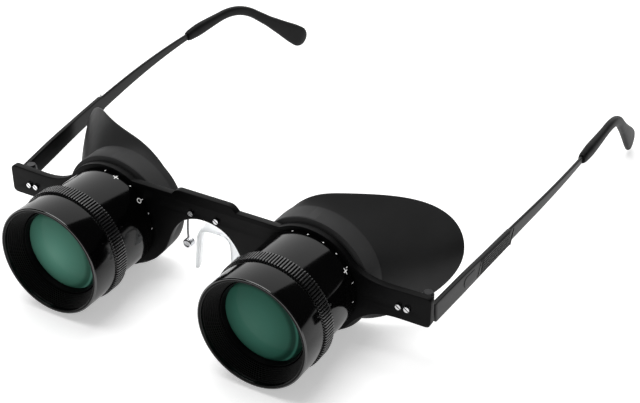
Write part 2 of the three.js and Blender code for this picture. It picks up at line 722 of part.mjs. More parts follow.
// The hinge leaf behind the frame's end, in the hinge's own frame
function hingeLeaf(side) {
  const leafEndGap = 0.4;
  const leafFrontY = plateThickness + runningGap - hingeY;
  const leafInnerX = endScrewX - endScrewPitch - 2 * screwHoleRadius - hingeX;
  const leafOuterX = -hingeKnuckleRadius - leafEndGap;
  const leafWidth = leafOuterX - leafInnerX;
  const plate = new THREE.BoxGeometry(leafWidth, leafThickness, 2 * outerKnuckleEnd);
  plate.translate(leafInnerX + leafWidth / 2, leafFrontY + leafThickness / 2, 0);
  let solid = toSolid(plate);
  for (const direction of [1, -1]) {
    const from = direction > 0 ? outerKnuckleStart : -outerKnuckleEnd;
    const armDepth = -leafFrontY;
    const armWidth = -leafInnerX;
    const arm = new THREE.BoxGeometry(armWidth, leafThickness, hingeOuterKnuckleHeight);
    const middle = from + hingeOuterKnuckleHeight / 2;
    arm.translate(leafInnerX + armWidth / 2, leafFrontY + leafThickness / 2, middle);
    const web = new THREE.BoxGeometry(hingeKnuckleRadius, armDepth, hingeOuterKnuckleHeight);
    web.translate(-hingeKnuckleRadius / 2, leafFrontY + armDepth / 2, middle);
    const knuckle = uprightBar(hingeKnuckleRadius, from, from + hingeOuterKnuckleHeight);
    solid = solid.add(toSolid(arm)).add(toSolid(web)).add(toSolid(knuckle));
  }
  solid = solid.subtract(toSolid(uprightBar(hingePinRadius + runningGap, -outerKnuckleEnd - cutOverrun,
    outerKnuckleEnd + cutOverrun)));
  for (const x of [endScrewX, endScrewX - endScrewPitch]) {
    const hole = barAlongY(screwHoleRadius, leafFrontY - cutOverrun, leafFrontY + leafThickness + cutOverrun);
    hole.translate(x - hingeX, 0, endScrewHeight - hingeHeight);
    solid = solid.subtract(toSolid(hole));
  }
  return flipX(solid, side);
}

// Mirrors a solid in X for the right side
function flipX(solid, side) {
  const geometry = toGeometry(solid);
  geometry.scale(side, 1, 1);
  return weld(geometry);
}

function hingePin() {
  const headRadius = hingeKnuckleRadius - runningGap;
  const headThickness = 0.5;
  const head = uprightBar(headRadius, outerKnuckleEnd + seatGap, outerKnuckleEnd + seatGap + headThickness);
  const shank = uprightBar(hingePinRadius, -outerKnuckleEnd, outerKnuckleEnd + seatGap + headThickness / 2);
  return toSolid(head).add(toSolid(shank));
}

// A slotted screw from the front of the frame into the part behind the plate
function screw() {
  const length = plateThickness + runningGap + leafThickness;
  const head = barAlongY(screwHeadRadius, -seatGap - screwHeadThickness, -seatGap);
  const shank = barAlongY(screwShankRadius, -seatGap - screwHeadThickness / 2, length);
  const slot = new THREE.BoxGeometry(2 * screwHeadRadius + cutOverrun, 2 * screwSlotDepth, screwSlotWidth);
  slot.rotateY(halfTurn / 5);
  slot.translate(0, -seatGap - screwHeadThickness, 0);
  return toSolid(head).add(toSolid(shank)).subtract(toSolid(slot));
}

// Plate behind the bridge with one bent wire down to each nose mount
function noseBracket() {
  const edge = 1.2;
  const bracketFrontY = plateThickness + runningGap;
  const bracketHalfWidth = bridgeScrewX + screwHoleRadius + edge;
  const bracketHalfHeight = screwHoleRadius + edge / 2;
  const wireY = bracketFrontY + leafThickness / 2;
  const plate = new THREE.BoxGeometry(2 * bracketHalfWidth, leafThickness, 2 * bracketHalfHeight);
  plate.translate(0, wireY, bridgeScrewHeight);
  let solid = toSolid(plate);
  const wireShape = new THREE.Shape();
  wireShape.absarc(0, 0, noseWireRadius, 0, fullTurn, false);
  const wireSegments = 14;
  const wireSides = 8;
  const wireFootHeight = noseMountHeight + noseMountRadius + runningGap;
  const wireTopHeight = bridgeScrewHeight - bracketHalfHeight / 2;
  const wireShares = [[0, 0], [0.3, 0.02], [0.62, 0.3], [0.9, 0.72], [1, 1]];
  const wireTopX = bracketHalfWidth - noseWireRadius;
  const wireFootY = saddleSetback - saddleWidth / 2 + noseMountLength / 4;
  for (const side of [left, right]) {
    const points = wireShares.map(([out, down]) => new THREE.Vector3(
      side * (wireTopX + (noseMountX - wireTopX) * out),
      wireY + (wireFootY - wireY) * down,
      wireTopHeight + (wireFootHeight - wireTopHeight) * down,
    ));
    const path = new THREE.CatmullRomCurve3(points);
    const wire = new THREE.ExtrudeGeometry(wireShape,
      { extrudePath: path, steps: wireSegments, curveSegments: wireSides / 2, bevelEnabled: false });
    const bracketRearY = bracketFrontY + leafThickness;
    const hole = barAlongY(screwHoleRadius, bracketFrontY - cutOverrun, bracketRearY + cutOverrun);
    hole.translate(side * bridgeScrewX, 0, bridgeScrewHeight);
    solid = solid.add(toSolid(wire)).subtract(toSolid(hole));
  }
  return solid;
}

function noseMount(side) {
  const rim = 0.3;
  const front = saddleSetback - saddleWidth / 2 - noseMountLength / 4;
  const rear = front + noseMountLength;
  const cup = noseMountRadius - 2 * rim;
  const mount = turned([[0, front + rim], [cup, front + rim], [cup, front], [noseMountRadius - rim, front],
    [noseMountRadius, front + rim], [noseMountRadius, rear], [0, rear]], smallSegments);
  mount.translate(side * noseMountX, 0, noseMountHeight);
  return mount;
}

// Clear saddle over the nose: two splayed pads joined by a strap
function noseSaddle() {
  const sideShares = [[1.12, 0], [1.1, 0.1], [1.05, 0.3], [1, 0.5], [0.95, 0.7], [0.86, 0.84],
    [0.68, 0.94], [0.4, 0.985], [0, 1]];
  const widthShares = [0.55, 0.85, 1, 1, 0.95, 0.85, 0.78, 0.75, 0.75];
  const splayShares = [1, 1, 1, 1, 0.9, 0.7, 0.4, 0.1, 0];
  const rise = saddleCrownHeight - saddleLegBottom;
  const halfPath = sideShares.map(([out, up], i) => ({
    x: saddleLegX * out,
    z: saddleLegBottom + rise * up,
    width: saddleWidth * widthShares[i],
    splay: saddleSplayAngle * splayShares[i],
  }));
  const otherHalf = halfPath.slice(0, -1).reverse().map((p) => ({ ...p, x: -p.x, splay: -p.splay }));
  const path = [...halfPath, ...otherHalf];
  const cornerShares = [[-1, -0.4], [-0.8, -1], [0.8, -1], [1, -0.4], [1, 0.4], [0.8, 1],
    [-0.8, 1], [-1, 0.4]];
  const rings = path.map((p, i) => {
    const before = path[Math.max(0, i - 1)];
    const after = path[Math.min(path.length - 1, i + 1)];
    const along = new THREE.Vector3(after.x - before.x, 0, after.z - before.z).normalize();
    const wide = new THREE.Vector3(Math.sin(p.splay), Math.cos(p.splay), 0);
    const thick = new THREE.Vector3().crossVectors(along, wide).normalize();
    return cornerShares.map(([w, t]) => new THREE.Vector3(p.x, saddleSetback, p.z)
      .addScaledVector(wide, w * p.width / 2)
      .addScaledVector(thick, t * saddleThickness / 2));
  });
  return loft(rings, true);
}

function addBarrel(root, side, word) {
  const barrel = new THREE.Group();
  barrel.position.x = side * barrelX;
  addMesh(barrel, `objective_tube_${word}`, objectiveTube(), glossBlack);
  addMesh(barrel, `objective_lens_${word}`, objectiveLens(), coatedGlass);
  addMesh(barrel, `lens_ring_${word}`, lensRing(), blackPlastic);
  addMesh(barrel, `focus_ring_${word}`, focusRing(), glossBlack);
  addMesh(barrel, `guide_tube_${word}`, guideTube(), blackPlastic);
  addMesh(barrel, `guide_screw_${word}`, guideScrew(), chrome);
  addMesh(barrel, `eye_lens_${word}`, eyeLens(), clearGlass);
  addMesh(barrel, `eye_lens_ring_${word}`, eyeRing(), blackPlastic);
  addMesh(barrel, `eyecup_${word}`, eyecup(side), blackRubber);
  root.add(barrel);
}

function addTemple(root, side, word, splay, set) {
  const hinge = new THREE.Group();
  hinge.position.set(side * hingeX, hingeY, hingeHeight);
  addMesh(hinge, `hinge_leaf_${word}`, hingeLeaf(side), blackMetal);
  addMesh(hinge, `hinge_pin_${word}`, hingePin(), blackMetal);
  const arm = new THREE.Group();
  arm.rotation.z = -side * splay;
  addMesh(arm, `temple_${word}`, flipX(temple(set), side), blackPlastic);
  addMesh(arm, `temple_tip_${word}`, flipX(templeTip(set), side), glossBlack);
  hinge.add(arm);
  root.add(hinge);
}

function buildGlasses() {
  const root = new THREE.Group();
  root.position.z = -bridgeMidHeight;
  addMesh(root, 'front_frame', frontFrame(), blackPlastic);
  addBarrel(root, left, 'left');
  addBarrel(root, right, 'right');
  const leftSet = {
    bow: leftTempleBow,
    pitch: leftTemplePitchAngle,
    tailDrop: leftTailDropAngle,
    tailTurn: leftTailTurnAngle,
  };
  const rightSet = {
    bow: rightTempleBow,
    pitch: rightTemplePitchAngle,
    tailDrop: rightTailDropAngle,
    tailTurn: rightTailTurnAngle,
  };
  addTemple(root, left, 'left', leftTempleSplayAngle, leftSet);
  addTemple(root, right, 'right', rightTempleSplayAngle, rightSet);
  for (const { name, place, x, z } of screwPlaces()) {
    const mesh = addMesh(root, `${place}_screw_${name}`, screw(), chrome);
    mesh.position.set(x, 0, z);
  }
  addMesh(root, 'nose_bracket', noseBracket(), chrome);
  addMesh(root, 'nose_mount_left', noseMount(left), chrome);
  addMesh(root, 'nose_mount_right', noseMount(right), chrome);
  addMesh(root, 'nose_saddle', noseSaddle(), clearSilicone);
  return root;
}

export default buildGlasses();
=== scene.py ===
from math import pi, radians

import bmesh
import bpy
import numpy as np
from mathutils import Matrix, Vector


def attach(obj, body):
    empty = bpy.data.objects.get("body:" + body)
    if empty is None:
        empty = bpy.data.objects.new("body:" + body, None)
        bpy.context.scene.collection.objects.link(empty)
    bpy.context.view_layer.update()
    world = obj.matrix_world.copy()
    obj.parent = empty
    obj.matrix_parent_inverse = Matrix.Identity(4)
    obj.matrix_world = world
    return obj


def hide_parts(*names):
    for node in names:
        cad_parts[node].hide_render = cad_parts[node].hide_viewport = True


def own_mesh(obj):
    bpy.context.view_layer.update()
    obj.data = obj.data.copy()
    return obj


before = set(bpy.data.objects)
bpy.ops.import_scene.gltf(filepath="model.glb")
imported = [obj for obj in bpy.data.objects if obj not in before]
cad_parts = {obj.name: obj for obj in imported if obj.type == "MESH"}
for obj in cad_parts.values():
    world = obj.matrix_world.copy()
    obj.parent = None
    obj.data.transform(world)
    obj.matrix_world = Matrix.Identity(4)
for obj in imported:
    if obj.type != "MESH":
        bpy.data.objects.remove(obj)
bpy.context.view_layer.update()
mm = 0.001
axisHeight = -11.6  # the barrels' axes lie this far under the bridge's middle
barrelX = 32.0
gap = 0.3
sides = {"left": 1, "right": -1}  # the wearer's left is plus X
print("frame loaded:", len(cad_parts), "nodes")

# Camera: the photograph's viewing angle
cameraSet = {"place": (0.1807, -0.2505, 0.1904), "pitch": 58.58, "yaw": 30.02, "lens": 76.16}


def addCamera():
    data = bpy.data.cameras.new("camera")
    data.lens = cameraSet["lens"]
    data.sensor_width = 36
    data.clip_start = 0.01
    camera = bpy.data.objects.new("camera", data)
    camera.location = cameraSet["place"]
    camera.rotation_euler = (radians(cameraSet["pitch"]), 0, radians(cameraSet["yaw"]))
    bpy.context.scene.collection.objects.link(camera)
    bpy.context.scene.camera = camera


# Materials: every colour and roughness varies a little over the surface. A row has the shader's sockets
# and then its changes, mostly a noise's scale and the two ends that the noise moves between. The last
# three numbers of the lacquer's changes stretch the noise along the arm.
finishTable = {
    "satin": {
        "name": "satinBlackPlastic", "slot": "satin_black_plastic",
        "sockets": {"Roughness": 0.42, "Specular IOR Level": 0.08},
        "colour": (90, (0.0012, 0.0012, 0.0013), (0.003, 0.003, 0.0032)),
        "roughness": (400, 0.36, 0.5), "bump": (3500, 0.12, 0.00003),
    },
    "gloss": {
        "name": "glossBlackBarrel", "slot": "gloss_black_barrel",
        "sockets": {"Roughness": 0.1, "Specular IOR Level": 0.25},
        "colour": (60, (0.0006, 0.0006, 0.0007), (0.0016, 0.0016, 0.0017)), "roughness": (250, 0.07, 0.14),
    },
    "knurl": {
        "name": "knurlBlack", "slot": "gloss_black_barrel",
        "sockets": {"Roughness": 0.26, "Specular IOR Level": 0.95},
        "colour": (60, (0.006, 0.006, 0.0065), (0.009, 0.009, 0.0095)), "roughness": (500, 0.2, 0.32),
    },
    # painted shade: a darker, duller black put in the hood's inside, on its front ring face, in the knurl's
    # grooves and on the floor under the temple's ridges
    "inside": {
        "name": "paintedShadeBlack", "sockets": {"Roughness": 0.5, "Specular IOR Level": 0.12},
        "colour": (80, (0.0012, 0.0012, 0.0012), (0.002, 0.002, 0.002)), "roughness": (300, 0.42, 0.6),
    },
    "lip": {
        "name": "polishedHoodLip", "sockets": {"Roughness": 0.1, "Specular IOR Level": 1.0},
        "colour": (200, (0.001, 0.001, 0.001), (0.002, 0.002, 0.002)), "roughness": (400, 0.08, 0.16),
    },
    "rubber": {
        "name": "blackRubber", "slot": "black_rubber",
        "sockets": {"Roughness": 0.5, "Specular IOR Level": 0.06},
        # the collar's colours are painted light and the wing's colours painted shade
        "collarLightWingShade": (70, (8.6, 9.3), ((0.038, 0.038, 0.0384), (0.046, 0.046, 0.0465)),
                  ((0.025, 0.025, 0.0253), (0.03, 0.03, 0.0304))),
        "roughness": (300, 0.42, 0.55), "bump": (2600, 0.2, 0.00004),
    },
    # both lens finishes paint a reflection into the glass's green, the right lens lighter than the left
    "lens_left": {
        "name": "coatedGlassPaintedReflectionLeft", "slot": "coated_glass",
        "sockets": {"Roughness": 0.03, "Specular IOR Level": 0.03}, "coatingAndReflection": ("left",),
    },
    "lens_right": {
        "name": "coatedGlassPaintedReflectionRight", "slot": "coated_glass",
        "sockets": {"Roughness": 0.03, "Specular IOR Level": 0.03}, "coatingAndReflection": ("right",),
    },
    "glass": {
        "name": "clearGlass", "slot": "clear_glass",
        "sockets": {"Roughness": 0.03, "IOR": 1.5, "Transmission Weight": 0.92},
        "colour": (40, (0.72, 0.8, 0.77), (0.78, 0.85, 0.82)),
    },
    "lacquer": {
        "name": "blackLacquerMetal", "slot": "black_lacquer_metal",
        "sockets": {"Roughness": 0.3, "Specular IOR Level": 0.22},
        "colour": (120, (0.002, 0.002, 0.0022), (0.005, 0.005, 0.0053)),
        "roughness": (260, 0.3, 0.42, (3, 0.3, 3)), "bump": (1800, 0.08, 0.00003, (1, 0.1, 1)),
    },
    "ridge": {
        "name": "ridgeLacquer", "slot": "black_lacquer_metal",
        "sockets": {"Roughness": 0.22, "Specular IOR Level": 0.7},
        "colour": (120, (0.006, 0.006, 0.0063), (0.012, 0.012, 0.0125)), "roughness": (500, 0.16, 0.3),
    },
    "tip": {
        "name": "glossBlackTip", "slot": "gloss_black_tip",
        "sockets": {"Roughness": 0.5, "Specular IOR Level": 0.12},
        "colour": (80, (0.002, 0.002, 0.0022), (0.005, 0.005, 0.0053)),
        "roughness": (300, 0.44, 0.58), "bump": (900, 0.05, 0.00003),
    },
    "steel": {
        "name": "steelScrew", "slot": "steel_screw", "sockets": {"Roughness": 0.16, "Metallic": 1.0},
        "colour": (700, (0.8, 0.8, 0.81), (0.93, 0.93, 0.94)), "roughness": (2500, 0.16, 0.3),
    },
    "chrome": {
        "name": "chromeButton", "slot": "chrome_wire", "sockets": {"Roughness": 0.1, "Metallic": 1.0},
        "colour": (700, (0.7, 0.7, 0.72), (0.85, 0.85, 0.87)), "roughness": (2500, 0.1, 0.2),
    },
    "wire": {
        "name": "darkWire", "slot": "chrome_wire", "sockets": {"Roughness": 0.1, "Metallic": 1.0},
        "colour": (700, (0.12, 0.12, 0.125), (0.2, 0.2, 0.21)), "roughness": (2500, 0.1, 0.2),
    },
    "hinge": {
        "name": "blackHingeMetal", "slot": "black_hinge_metal",
        "sockets": {"Roughness": 0.4, "Metallic": 0.6},
        "colour": (500, (0.02, 0.02, 0.021), (0.035, 0.035, 0.037)), "roughness": (900, 0.32, 0.5),
    },
    "silicone": {
        "name": "clearSilicone", "slot": "clear_silicone",
        "sockets": {"Roughness": 0.3, "IOR": 1.3, "Transmission Weight": 0.82},
        "colour": (60, (0.84, 0.86, 0.87), (0.9, 0.92, 0.93)), "roughness": (200, 0.22, 0.4),
    },
    "paint": {
        "name": "whiteMarkPaint", "sockets": {"Roughness": 0.5},
        "colour": (3000, (0.85, 0.85, 0.84), (0.98, 0.98, 0.97)),
    },
}


# Noise in the piece's own coordinates; a stretch under one draws it out along that axis
def noiseOn(material, scale, detail=3.0, stretch=(1, 1, 1)):
    tree = material.node_tree
    place = tree.nodes.new("ShaderNodeTexCoord")
    mapping = tree.nodes.new("ShaderNodeMapping")
    mapping.inputs["Scale"].default_value = stretch
    noise = tree.nodes.new("ShaderNodeTexNoise")
    noise.inputs["Scale"].default_value = scale
    noise.inputs["Detail"].default_value = detail
    tree.links.new(place.outputs["Object"], mapping.inputs["Vector"])
    tree.links.new(mapping.outputs["Vector"], noise.inputs["Vector"])
    return noise.outputs["Fac"]


# A colour ramp whose stops are pairs of a place from 0 to 1 and a colour
def rampBetween(material, source, stops):
    ramp = material.node_tree.nodes.new("ShaderNodeValToRGB")
    first, last = ramp.color_ramp.elements
    first.position, last.position = stops[0][0], stops[-1][0]
    first.color, last.color = (*stops[0][1], 1), (*stops[-1][1], 1)
    for position, color in stops[1:-1]:
        ramp.color_ramp.elements.new(position).color = (*color, 1)
    material.node_tree.links.new(source, ramp.inputs["Fac"])
    return ramp.outputs["Color"]


def varyColour(material, node, scale, dark, light, socket="Base Color"):
    colour = rampBetween(material, noiseOn(material, scale), [(0.3, dark), (0.7, light)])
    material.node_tree.links.new(colour, node.inputs[socket])


def varyRoughness(material, shader, scale, low, high, stretch=(1, 1, 1)):
    spread = material.node_tree.nodes.new("ShaderNodeMapRange")
    spread.inputs["To Min"].default_value = low
    spread.inputs["To Max"].default_value = high
    material.node_tree.links.new(noiseOn(material, scale, 3.0, stretch), spread.inputs["Value"])
    material.node_tree.links.new(spread.outputs["Result"], shader.inputs["Roughness"])


def addBump(material, shader, scale, strength, distance, stretch=(1, 1, 1)):
    bump = material.node_tree.nodes.new("ShaderNodeBump")
    bump.inputs["Strength"].default_value = strength
    bump.inputs["Distance"].default_value = distance
    material.node_tree.links.new(noiseOn(material, scale, 2.0, stretch), bump.inputs["Height"])
    material.node_tree.links.new(bump.outputs["Normal"], shader.inputs["Normal"])


# The collar in front of the crease is painted lighter than the wing behind it: painted light on the collar
# and painted shade on the wing. The crease is two places along Y, between which the one colour turns into the
# other
def paintCollarLightWingShade(material, shader, scale, crease, collar, wing):
    tree = material.node_tree
    place = tree.nodes.new("ShaderNodeTexCoord")
    parts = tree.nodes.new("ShaderNodeSeparateXYZ")
    tree.links.new(place.outputs["Object"], parts.inputs["Vector"])
    behind = tree.nodes.new("ShaderNodeMapRange")
    behind.inputs["From Min"].default_value = crease[0] * mm
    behind.inputs["From Max"].default_value = crease[1] * mm
    tree.links.new(parts.outputs["Y"], behind.inputs["Value"])
    mix = tree.nodes.new("ShaderNodeMixRGB")
    tree.links.new(behind.outputs["Result"], mix.inputs["Fac"])
    varyColour(material, mix, scale, *collar, "Color1")
    varyColour(material, mix, scale, *wing, "Color2")
    tree.links.new(mix.outputs["Color"], shader.inputs["Base Color"])


# The lens's colour is painted as a ball round a point beside the lens's axis: its stops run from the ball's
# skin at the lens's far edge to its middle, and each lens has its own tints for them. Over the glass's own
# green this paints a reflection: a dark edge, a lighter painted arc and a dark band near it, and a lighter
# middle, with the right lens painted brighter than the left
coatingAndReflection = {
    "aside": 2.6, "depth": 20.5, "below": 1.2, "reach": 14.0,
    "stops": [(0.0, "edge"), (0.09, "edge"), (0.12, "arc"), (0.16, "band"), (0.21, "band"), (0.28, "far"),
              (0.6, "middle"), (1.0, "near")],
}
lensCoatingAndReflectionTints = {
    "left": {"edge": (0.006, 0.03, 0.02), "arc": (0.05, 0.19, 0.14), "band": (0.012, 0.05, 0.035),
             "far": (0.03, 0.115, 0.082), "middle": (0.045, 0.15, 0.11), "near": (0.06, 0.175, 0.13)},
    "right": {"edge": (0.008, 0.035, 0.024), "arc": (0.11, 0.3, 0.23), "band": (0.03, 0.1, 0.07),
              "far": (0.06, 0.18, 0.13), "middle": (0.085, 0.24, 0.18), "near": (0.13, 0.32, 0.245)},
}


def paintCoatingAndReflection(material, shader, side):
    s = coatingAndReflection
    tree = material.node_tree
    place = tree.nodes.new("ShaderNodeTexCoord")
    mapping = tree.nodes.new("ShaderNodeMapping")
    shift = (s["aside"] - sides[side] * barrelX, s["depth"], s["below"] - axisHeight)
    mapping.inputs["Location"].default_value = [distance * mm for distance in shift]
    stretched = tree.nodes.new("ShaderNodeMapping")
    stretched.inputs["Scale"].default_value = [1 / (s["reach"] * mm)] * 3
    tree.links.new(place.outputs["Object"], mapping.inputs["Vector"])
    tree.links.new(mapping.outputs["Vector"], stretched.inputs["Vector"])
    ball = tree.nodes.new("ShaderNodeTexGradient")
    ball.gradient_type = "SPHERICAL"
    tree.links.new(stretched.outputs["Vector"], ball.inputs["Vector"])
    stops = [(position, lensCoatingAndReflectionTints[side][tint]) for position, tint in s["stops"]]
    colour = rampBetween(material, ball.outputs["Fac"], stops)
    tree.links.new(colour, shader.inputs["Base Color"])


changes = {"colour": varyColour, "collarLightWingShade": paintCollarLightWingShade, "coatingAndReflection": paintCoatingAndReflection, "roughness": varyRoughness,
           "bump": addBump}


def newMaterial(row):
    material = bpy.data.materials.new(row["name"])
    material.use_nodes = True
    shader = material.node_tree.nodes["Principled BSDF"]
    for socket, value in row["sockets"].items():
        shader.inputs[socket].default_value = value
    for change, make in changes.items():
        if change in row:
            make(material, shader, *row[change])
    return material


finishes = {finish: newMaterial(row) for finish, row in finishTable.items()}
print("materials made:", len(finishes))


# Mesh tools: every surface is a grid of points worked out as whole arrays
def finishMesh(name, mesh, finish, body, nodes=(), sharpAngle=38):
    work = bmesh.new()
    work.from_mesh(mesh)
    bmesh.ops.remove_doubles(work, verts=work.verts, dist=1e-7)
    bmesh.ops.dissolve_degenerate(work, edges=work.edges, dist=1e-7)
    bmesh.ops.recalc_face_normals(work, faces=work.faces)
    work.to_mesh(mesh)
    work.free()
    mesh.polygons.foreach_set("use_smooth", np.ones(len(mesh.polygons), bool))
    mesh.set_sharp_from_angle(angle=radians(sharpAngle))
    mesh.materials.clear()
    mesh.materials.append(finishes[finish])
    piece = bpy.data.objects.new(name, mesh)
    bpy.context.scene.collection.objects.link(piece)
    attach(piece, body)
    if nodes:
        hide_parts(*nodes)
    return piece


# Each face joins four neighbours of a grid whose points are counted row by row; columns run full circle
def gridFaces(rows, columns, closeRows, start):
    i = np.arange(rows if closeRows else rows - 1)[:, None]
    j = np.arange(columns)[None, :]
    nextI, nextJ = (i + 1) % rows, (j + 1) % columns
    corners = [i * columns + j, nextI * columns + j, nextI * columns + nextJ, i * columns + nextJ]
    return np.stack([np.broadcast_to(c, (i.size, j.size)) for c in corners], -1).reshape(-1, 4) + start


# Grids of points in millimetres become one piece in metres; closed grids join their last row to the first
def addPiece(name, grids, finish, body, nodes=(), closed=False, sharpAngle=38):
    points, faces, start = [], [], 0
    for grid in grids:
        rows, columns = grid.shape[:2]
        points.append(grid.reshape(-1, 3))
        faces.append(gridFaces(rows, columns, closed, start))
        start += rows * columns
    mesh = bpy.data.meshes.new(name)
    mesh.from_pydata((np.vstack(points) * mm).tolist(), [], np.vstack(faces).tolist())
    return finishMesh(name, mesh, finish, body, nodes, sharpAngle)


# Rounds each corner of a profile: a quadratic curve from a point before it to a point after it, with
# neither further from the corner than the cut or 0.45 of the shorter edge beside it
def softened(profile, cut, closed=True):
    p = np.array(profile, float)
    toBefore, toAfter = np.roll(p, 1, 0) - p, np.roll(p, -1, 0) - p
    before = np.maximum(np.linalg.norm(toBefore, axis=1, keepdims=True), 1e-9)
    after = np.maximum(np.linalg.norm(toAfter, axis=1, keepdims=True), 1e-9)
    reach = np.minimum(cut, 0.45 * np.minimum(before, after))
    start, end = p + toBefore / before * reach, p + toAfter / after * reach
    t = np.linspace(0, 1, 5)[None, :, None]
    arcs = (1 - t) ** 2 * start[:, None] + 2 * t * (1 - t) * p[:, None] + t**2 * end[:, None]
    if closed:
        return arcs.reshape(-1, 2)
    return np.vstack([p[:1], arcs[1:-1].reshape(-1, 2), p[-1:]])


# A turned surface: the profile's radius goes round the barrel axis, its second value is Y
def turnedGrid(profile, x, z=axisHeight, columns=160):
    angle = np.linspace(0, 2 * pi, columns, endpoint=False)[None, :]
    radius, along = np.array(profile, float)[:, 0:1], np.array(profile, float)[:, 1:2]
    return np.stack([x + radius * np.cos(angle), along + 0 * angle, z + radius * np.sin(angle)], -1)


# A smooth line through points: each stretch is the Catmull-Rom cubic of its four neighbours
def smoothPath(points, perStretch):
    p = np.array(points, float)
    padded = np.vstack([2 * p[0] - p[1], p, 2 * p[-1] - p[-2]])
    a, b, c, d = (padded[k:len(padded) - 3 + k, None] for k in range(4))
    t = np.linspace(0, 1, perStretch, endpoint=False)[None, :, None]
    curve = 2 * b + (c - a) * t + (2 * a - 5 * b + 4 * c - d) * t**2 + (3 * b - a - 3 * c + d) * t**3
    return np.vstack([0.5 * curve.reshape(-1, p.shape[1]), p[-1:]])


# A rounded box section: the signed power of cosine and sine, squarer as the power falls
def roundedSection(columns, power):
    angle = np.linspace(0, 2 * pi, columns, endpoint=False)
    wide, high = np.cos(angle), np.sin(angle)
    return np.sign(wide) * np.abs(wide) ** power, np.sign(high) * np.abs(high) ** power


# Carries a section along a line: rows are places along it, shrinking to a point at both ends
def carriedGrid(centres, across, up, halfAcross, halfUp, power, columns):
    wide, high = roundedSection(columns, power)
    halfAcross = np.broadcast_to(halfAcross, len(centres)).astype(float)[:, None, None]
    halfUp = np.broadcast_to(halfUp, len(centres)).astype(float)[:, None, None]
    rings = (centres[:, None] + across[:, None] * halfAcross * wide[None, :, None]
             + up[:, None] * halfUp * high[None, :, None])
    first, last = centres[:1, None] + 0 * rings[:1], centres[-1:, None] + 0 * rings[:1]
    return np.concatenate([first, rings, last])


# A round bar along a smooth line; its sides stay square to the line and to the reference
def roundBarGrid(points, radius, reference):
    along = np.gradient(points, axis=0)
    along /= np.linalg.norm(along, axis=1, keepdims=True)
    across = np.cross(along, reference)
    across /= np.linalg.norm(across, axis=1, keepdims=True)
    return carriedGrid(points, across, np.cross(across, along), radius, radius, 1.0, 20)


# A flattened stroke or dot lying on a face: an ellipsoid whose power makes it squarer
def strokeGrid(centre, along, beside, out, halfLength, halfWidth, thickness, power):
    wide, high = roundedSection(20, power)
    v = np.linspace(-pi / 2, pi / 2, 7)[:, None]
    return (np.array(centre) + (np.cos(v) * wide * halfLength)[..., None] * along
            + (np.cos(v) * high * halfWidth)[..., None] * beside
            + (np.sin(v) * thickness + 0 * wide)[..., None] * out)


# Front frame: a flat plate with two round bores
plate = {
    "thickness": 2.1, "edge": 0.22, "ring": 16.0, "bore": 12.0, "bridgeTop": 15.3,
    "raisedHalf": 7.7, "step": 2.7, "shoulder": 13.6, "halfWidth": 67.8, "armTop": 6.2, "armWaist": 5.9,
    "waistShare": 0.484, "topPullShare": 0.32, "armBottom": -2.6, "bottomShare": 0.622,
    "bottomPullShare": 0.36, "corner": 1.6, "topAngle": 0.63, "bottomAngle": -0.67, "archTop": 8.05,
    "footAngle": -2.29,
    "archShares": [(1, 1), (0.915, 0.965), (0.825, 0.9), (0.74, 0.81), (0.65, 0.69), (0.595, 0.575),
                   (0.515, 0.37), (0.435, 0.225), (0.33, 0.11), (0.22, 0.045), (0.1, 0.008), (0, 0)],
}
screwSet = {
    "end": 61.3, "pitch": 2.4, "endHeight": 1.3, "bridge": 4.1, "bridgeHeight": 9.4, "hole": 0.9,
}


# An arc round a barrel's axis: the radius times the cosine and the sine of the angle
def arcAround(x, radius, start, end, count):
    angle = np.linspace(start, end, count)
    return np.stack([x + radius * np.cos(angle), radius * np.sin(angle)], -1)


# A quadratic curve from a to b that is pulled towards the control point
def bendBetween(a, control, b):
    t = np.linspace(0, 1, 14)[:, None]
    return (1 - t) ** 2 * np.array(a) + 2 * t * (1 - t) * np.array(control) + t**2 * np.array(b)


# Half of the outline from the bridge's top round the arm and under the arch, then the same mirrored
def plateOutline():
    s = plate
    shoulderAngle = np.arcsin(s["shoulder"] / s["ring"])
    leaveTop, leaveBottom, foot = (arcAround(barrelX, s["ring"], s[name], s[name], 1)[0]
                                   for name in ("topAngle", "bottomAngle", "footAngle"))
    waistX = leaveTop[0] + (s["halfWidth"] - leaveTop[0]) * s["waistShare"]
    bottomX = leaveBottom[0] + (s["halfWidth"] - leaveBottom[0]) * s["bottomShare"]
    topControl = (leaveTop[0] + (waistX - leaveTop[0]) * s["topPullShare"], s["armWaist"])
    bottomControl = (leaveBottom[0] + (bottomX - leaveBottom[0]) * s["bottomPullShare"], s["armBottom"])
    drop = s["archTop"] - foot[1]
    arch = np.array(s["archShares"])
    arch = np.stack([foot[0] * arch[:, 0], s["archTop"] - drop * arch[:, 1]], -1)
    stepX = s["raisedHalf"] + s["step"]
    halfWidth, corner = s["halfWidth"], s["corner"]
    half = np.vstack([
        [(0, s["bridgeTop"])],
        bendBetween((s["raisedHalf"], s["bridgeTop"]), (s["raisedHalf"] + s["step"] / 2, s["bridgeTop"]),
                    (stepX, s["shoulder"])),
        arcAround(barrelX, s["ring"], pi - shoulderAngle, s["topAngle"], 90),
        bendBetween(leaveTop, topControl, (waistX, s["armWaist"]))[1:],
        bendBetween((halfWidth - corner, s["armTop"]), (halfWidth, s["armTop"]),
                    (halfWidth, s["armTop"] - corner)),
        bendBetween((halfWidth, s["armBottom"] + corner), (halfWidth, s["armBottom"]),
                    (halfWidth - corner, s["armBottom"])),
        bendBetween((bottomX, s["armBottom"]), bottomControl, leaveBottom),
        arcAround(barrelX, s["ring"], s["bottomAngle"], s["footAngle"], 90)[1:],
        smoothPath(arch, 6)[1:-1],
        [(0, s["archTop"])],
    ])
    return np.vstack([half, half[-2:0:-1] * (-1, 1)])


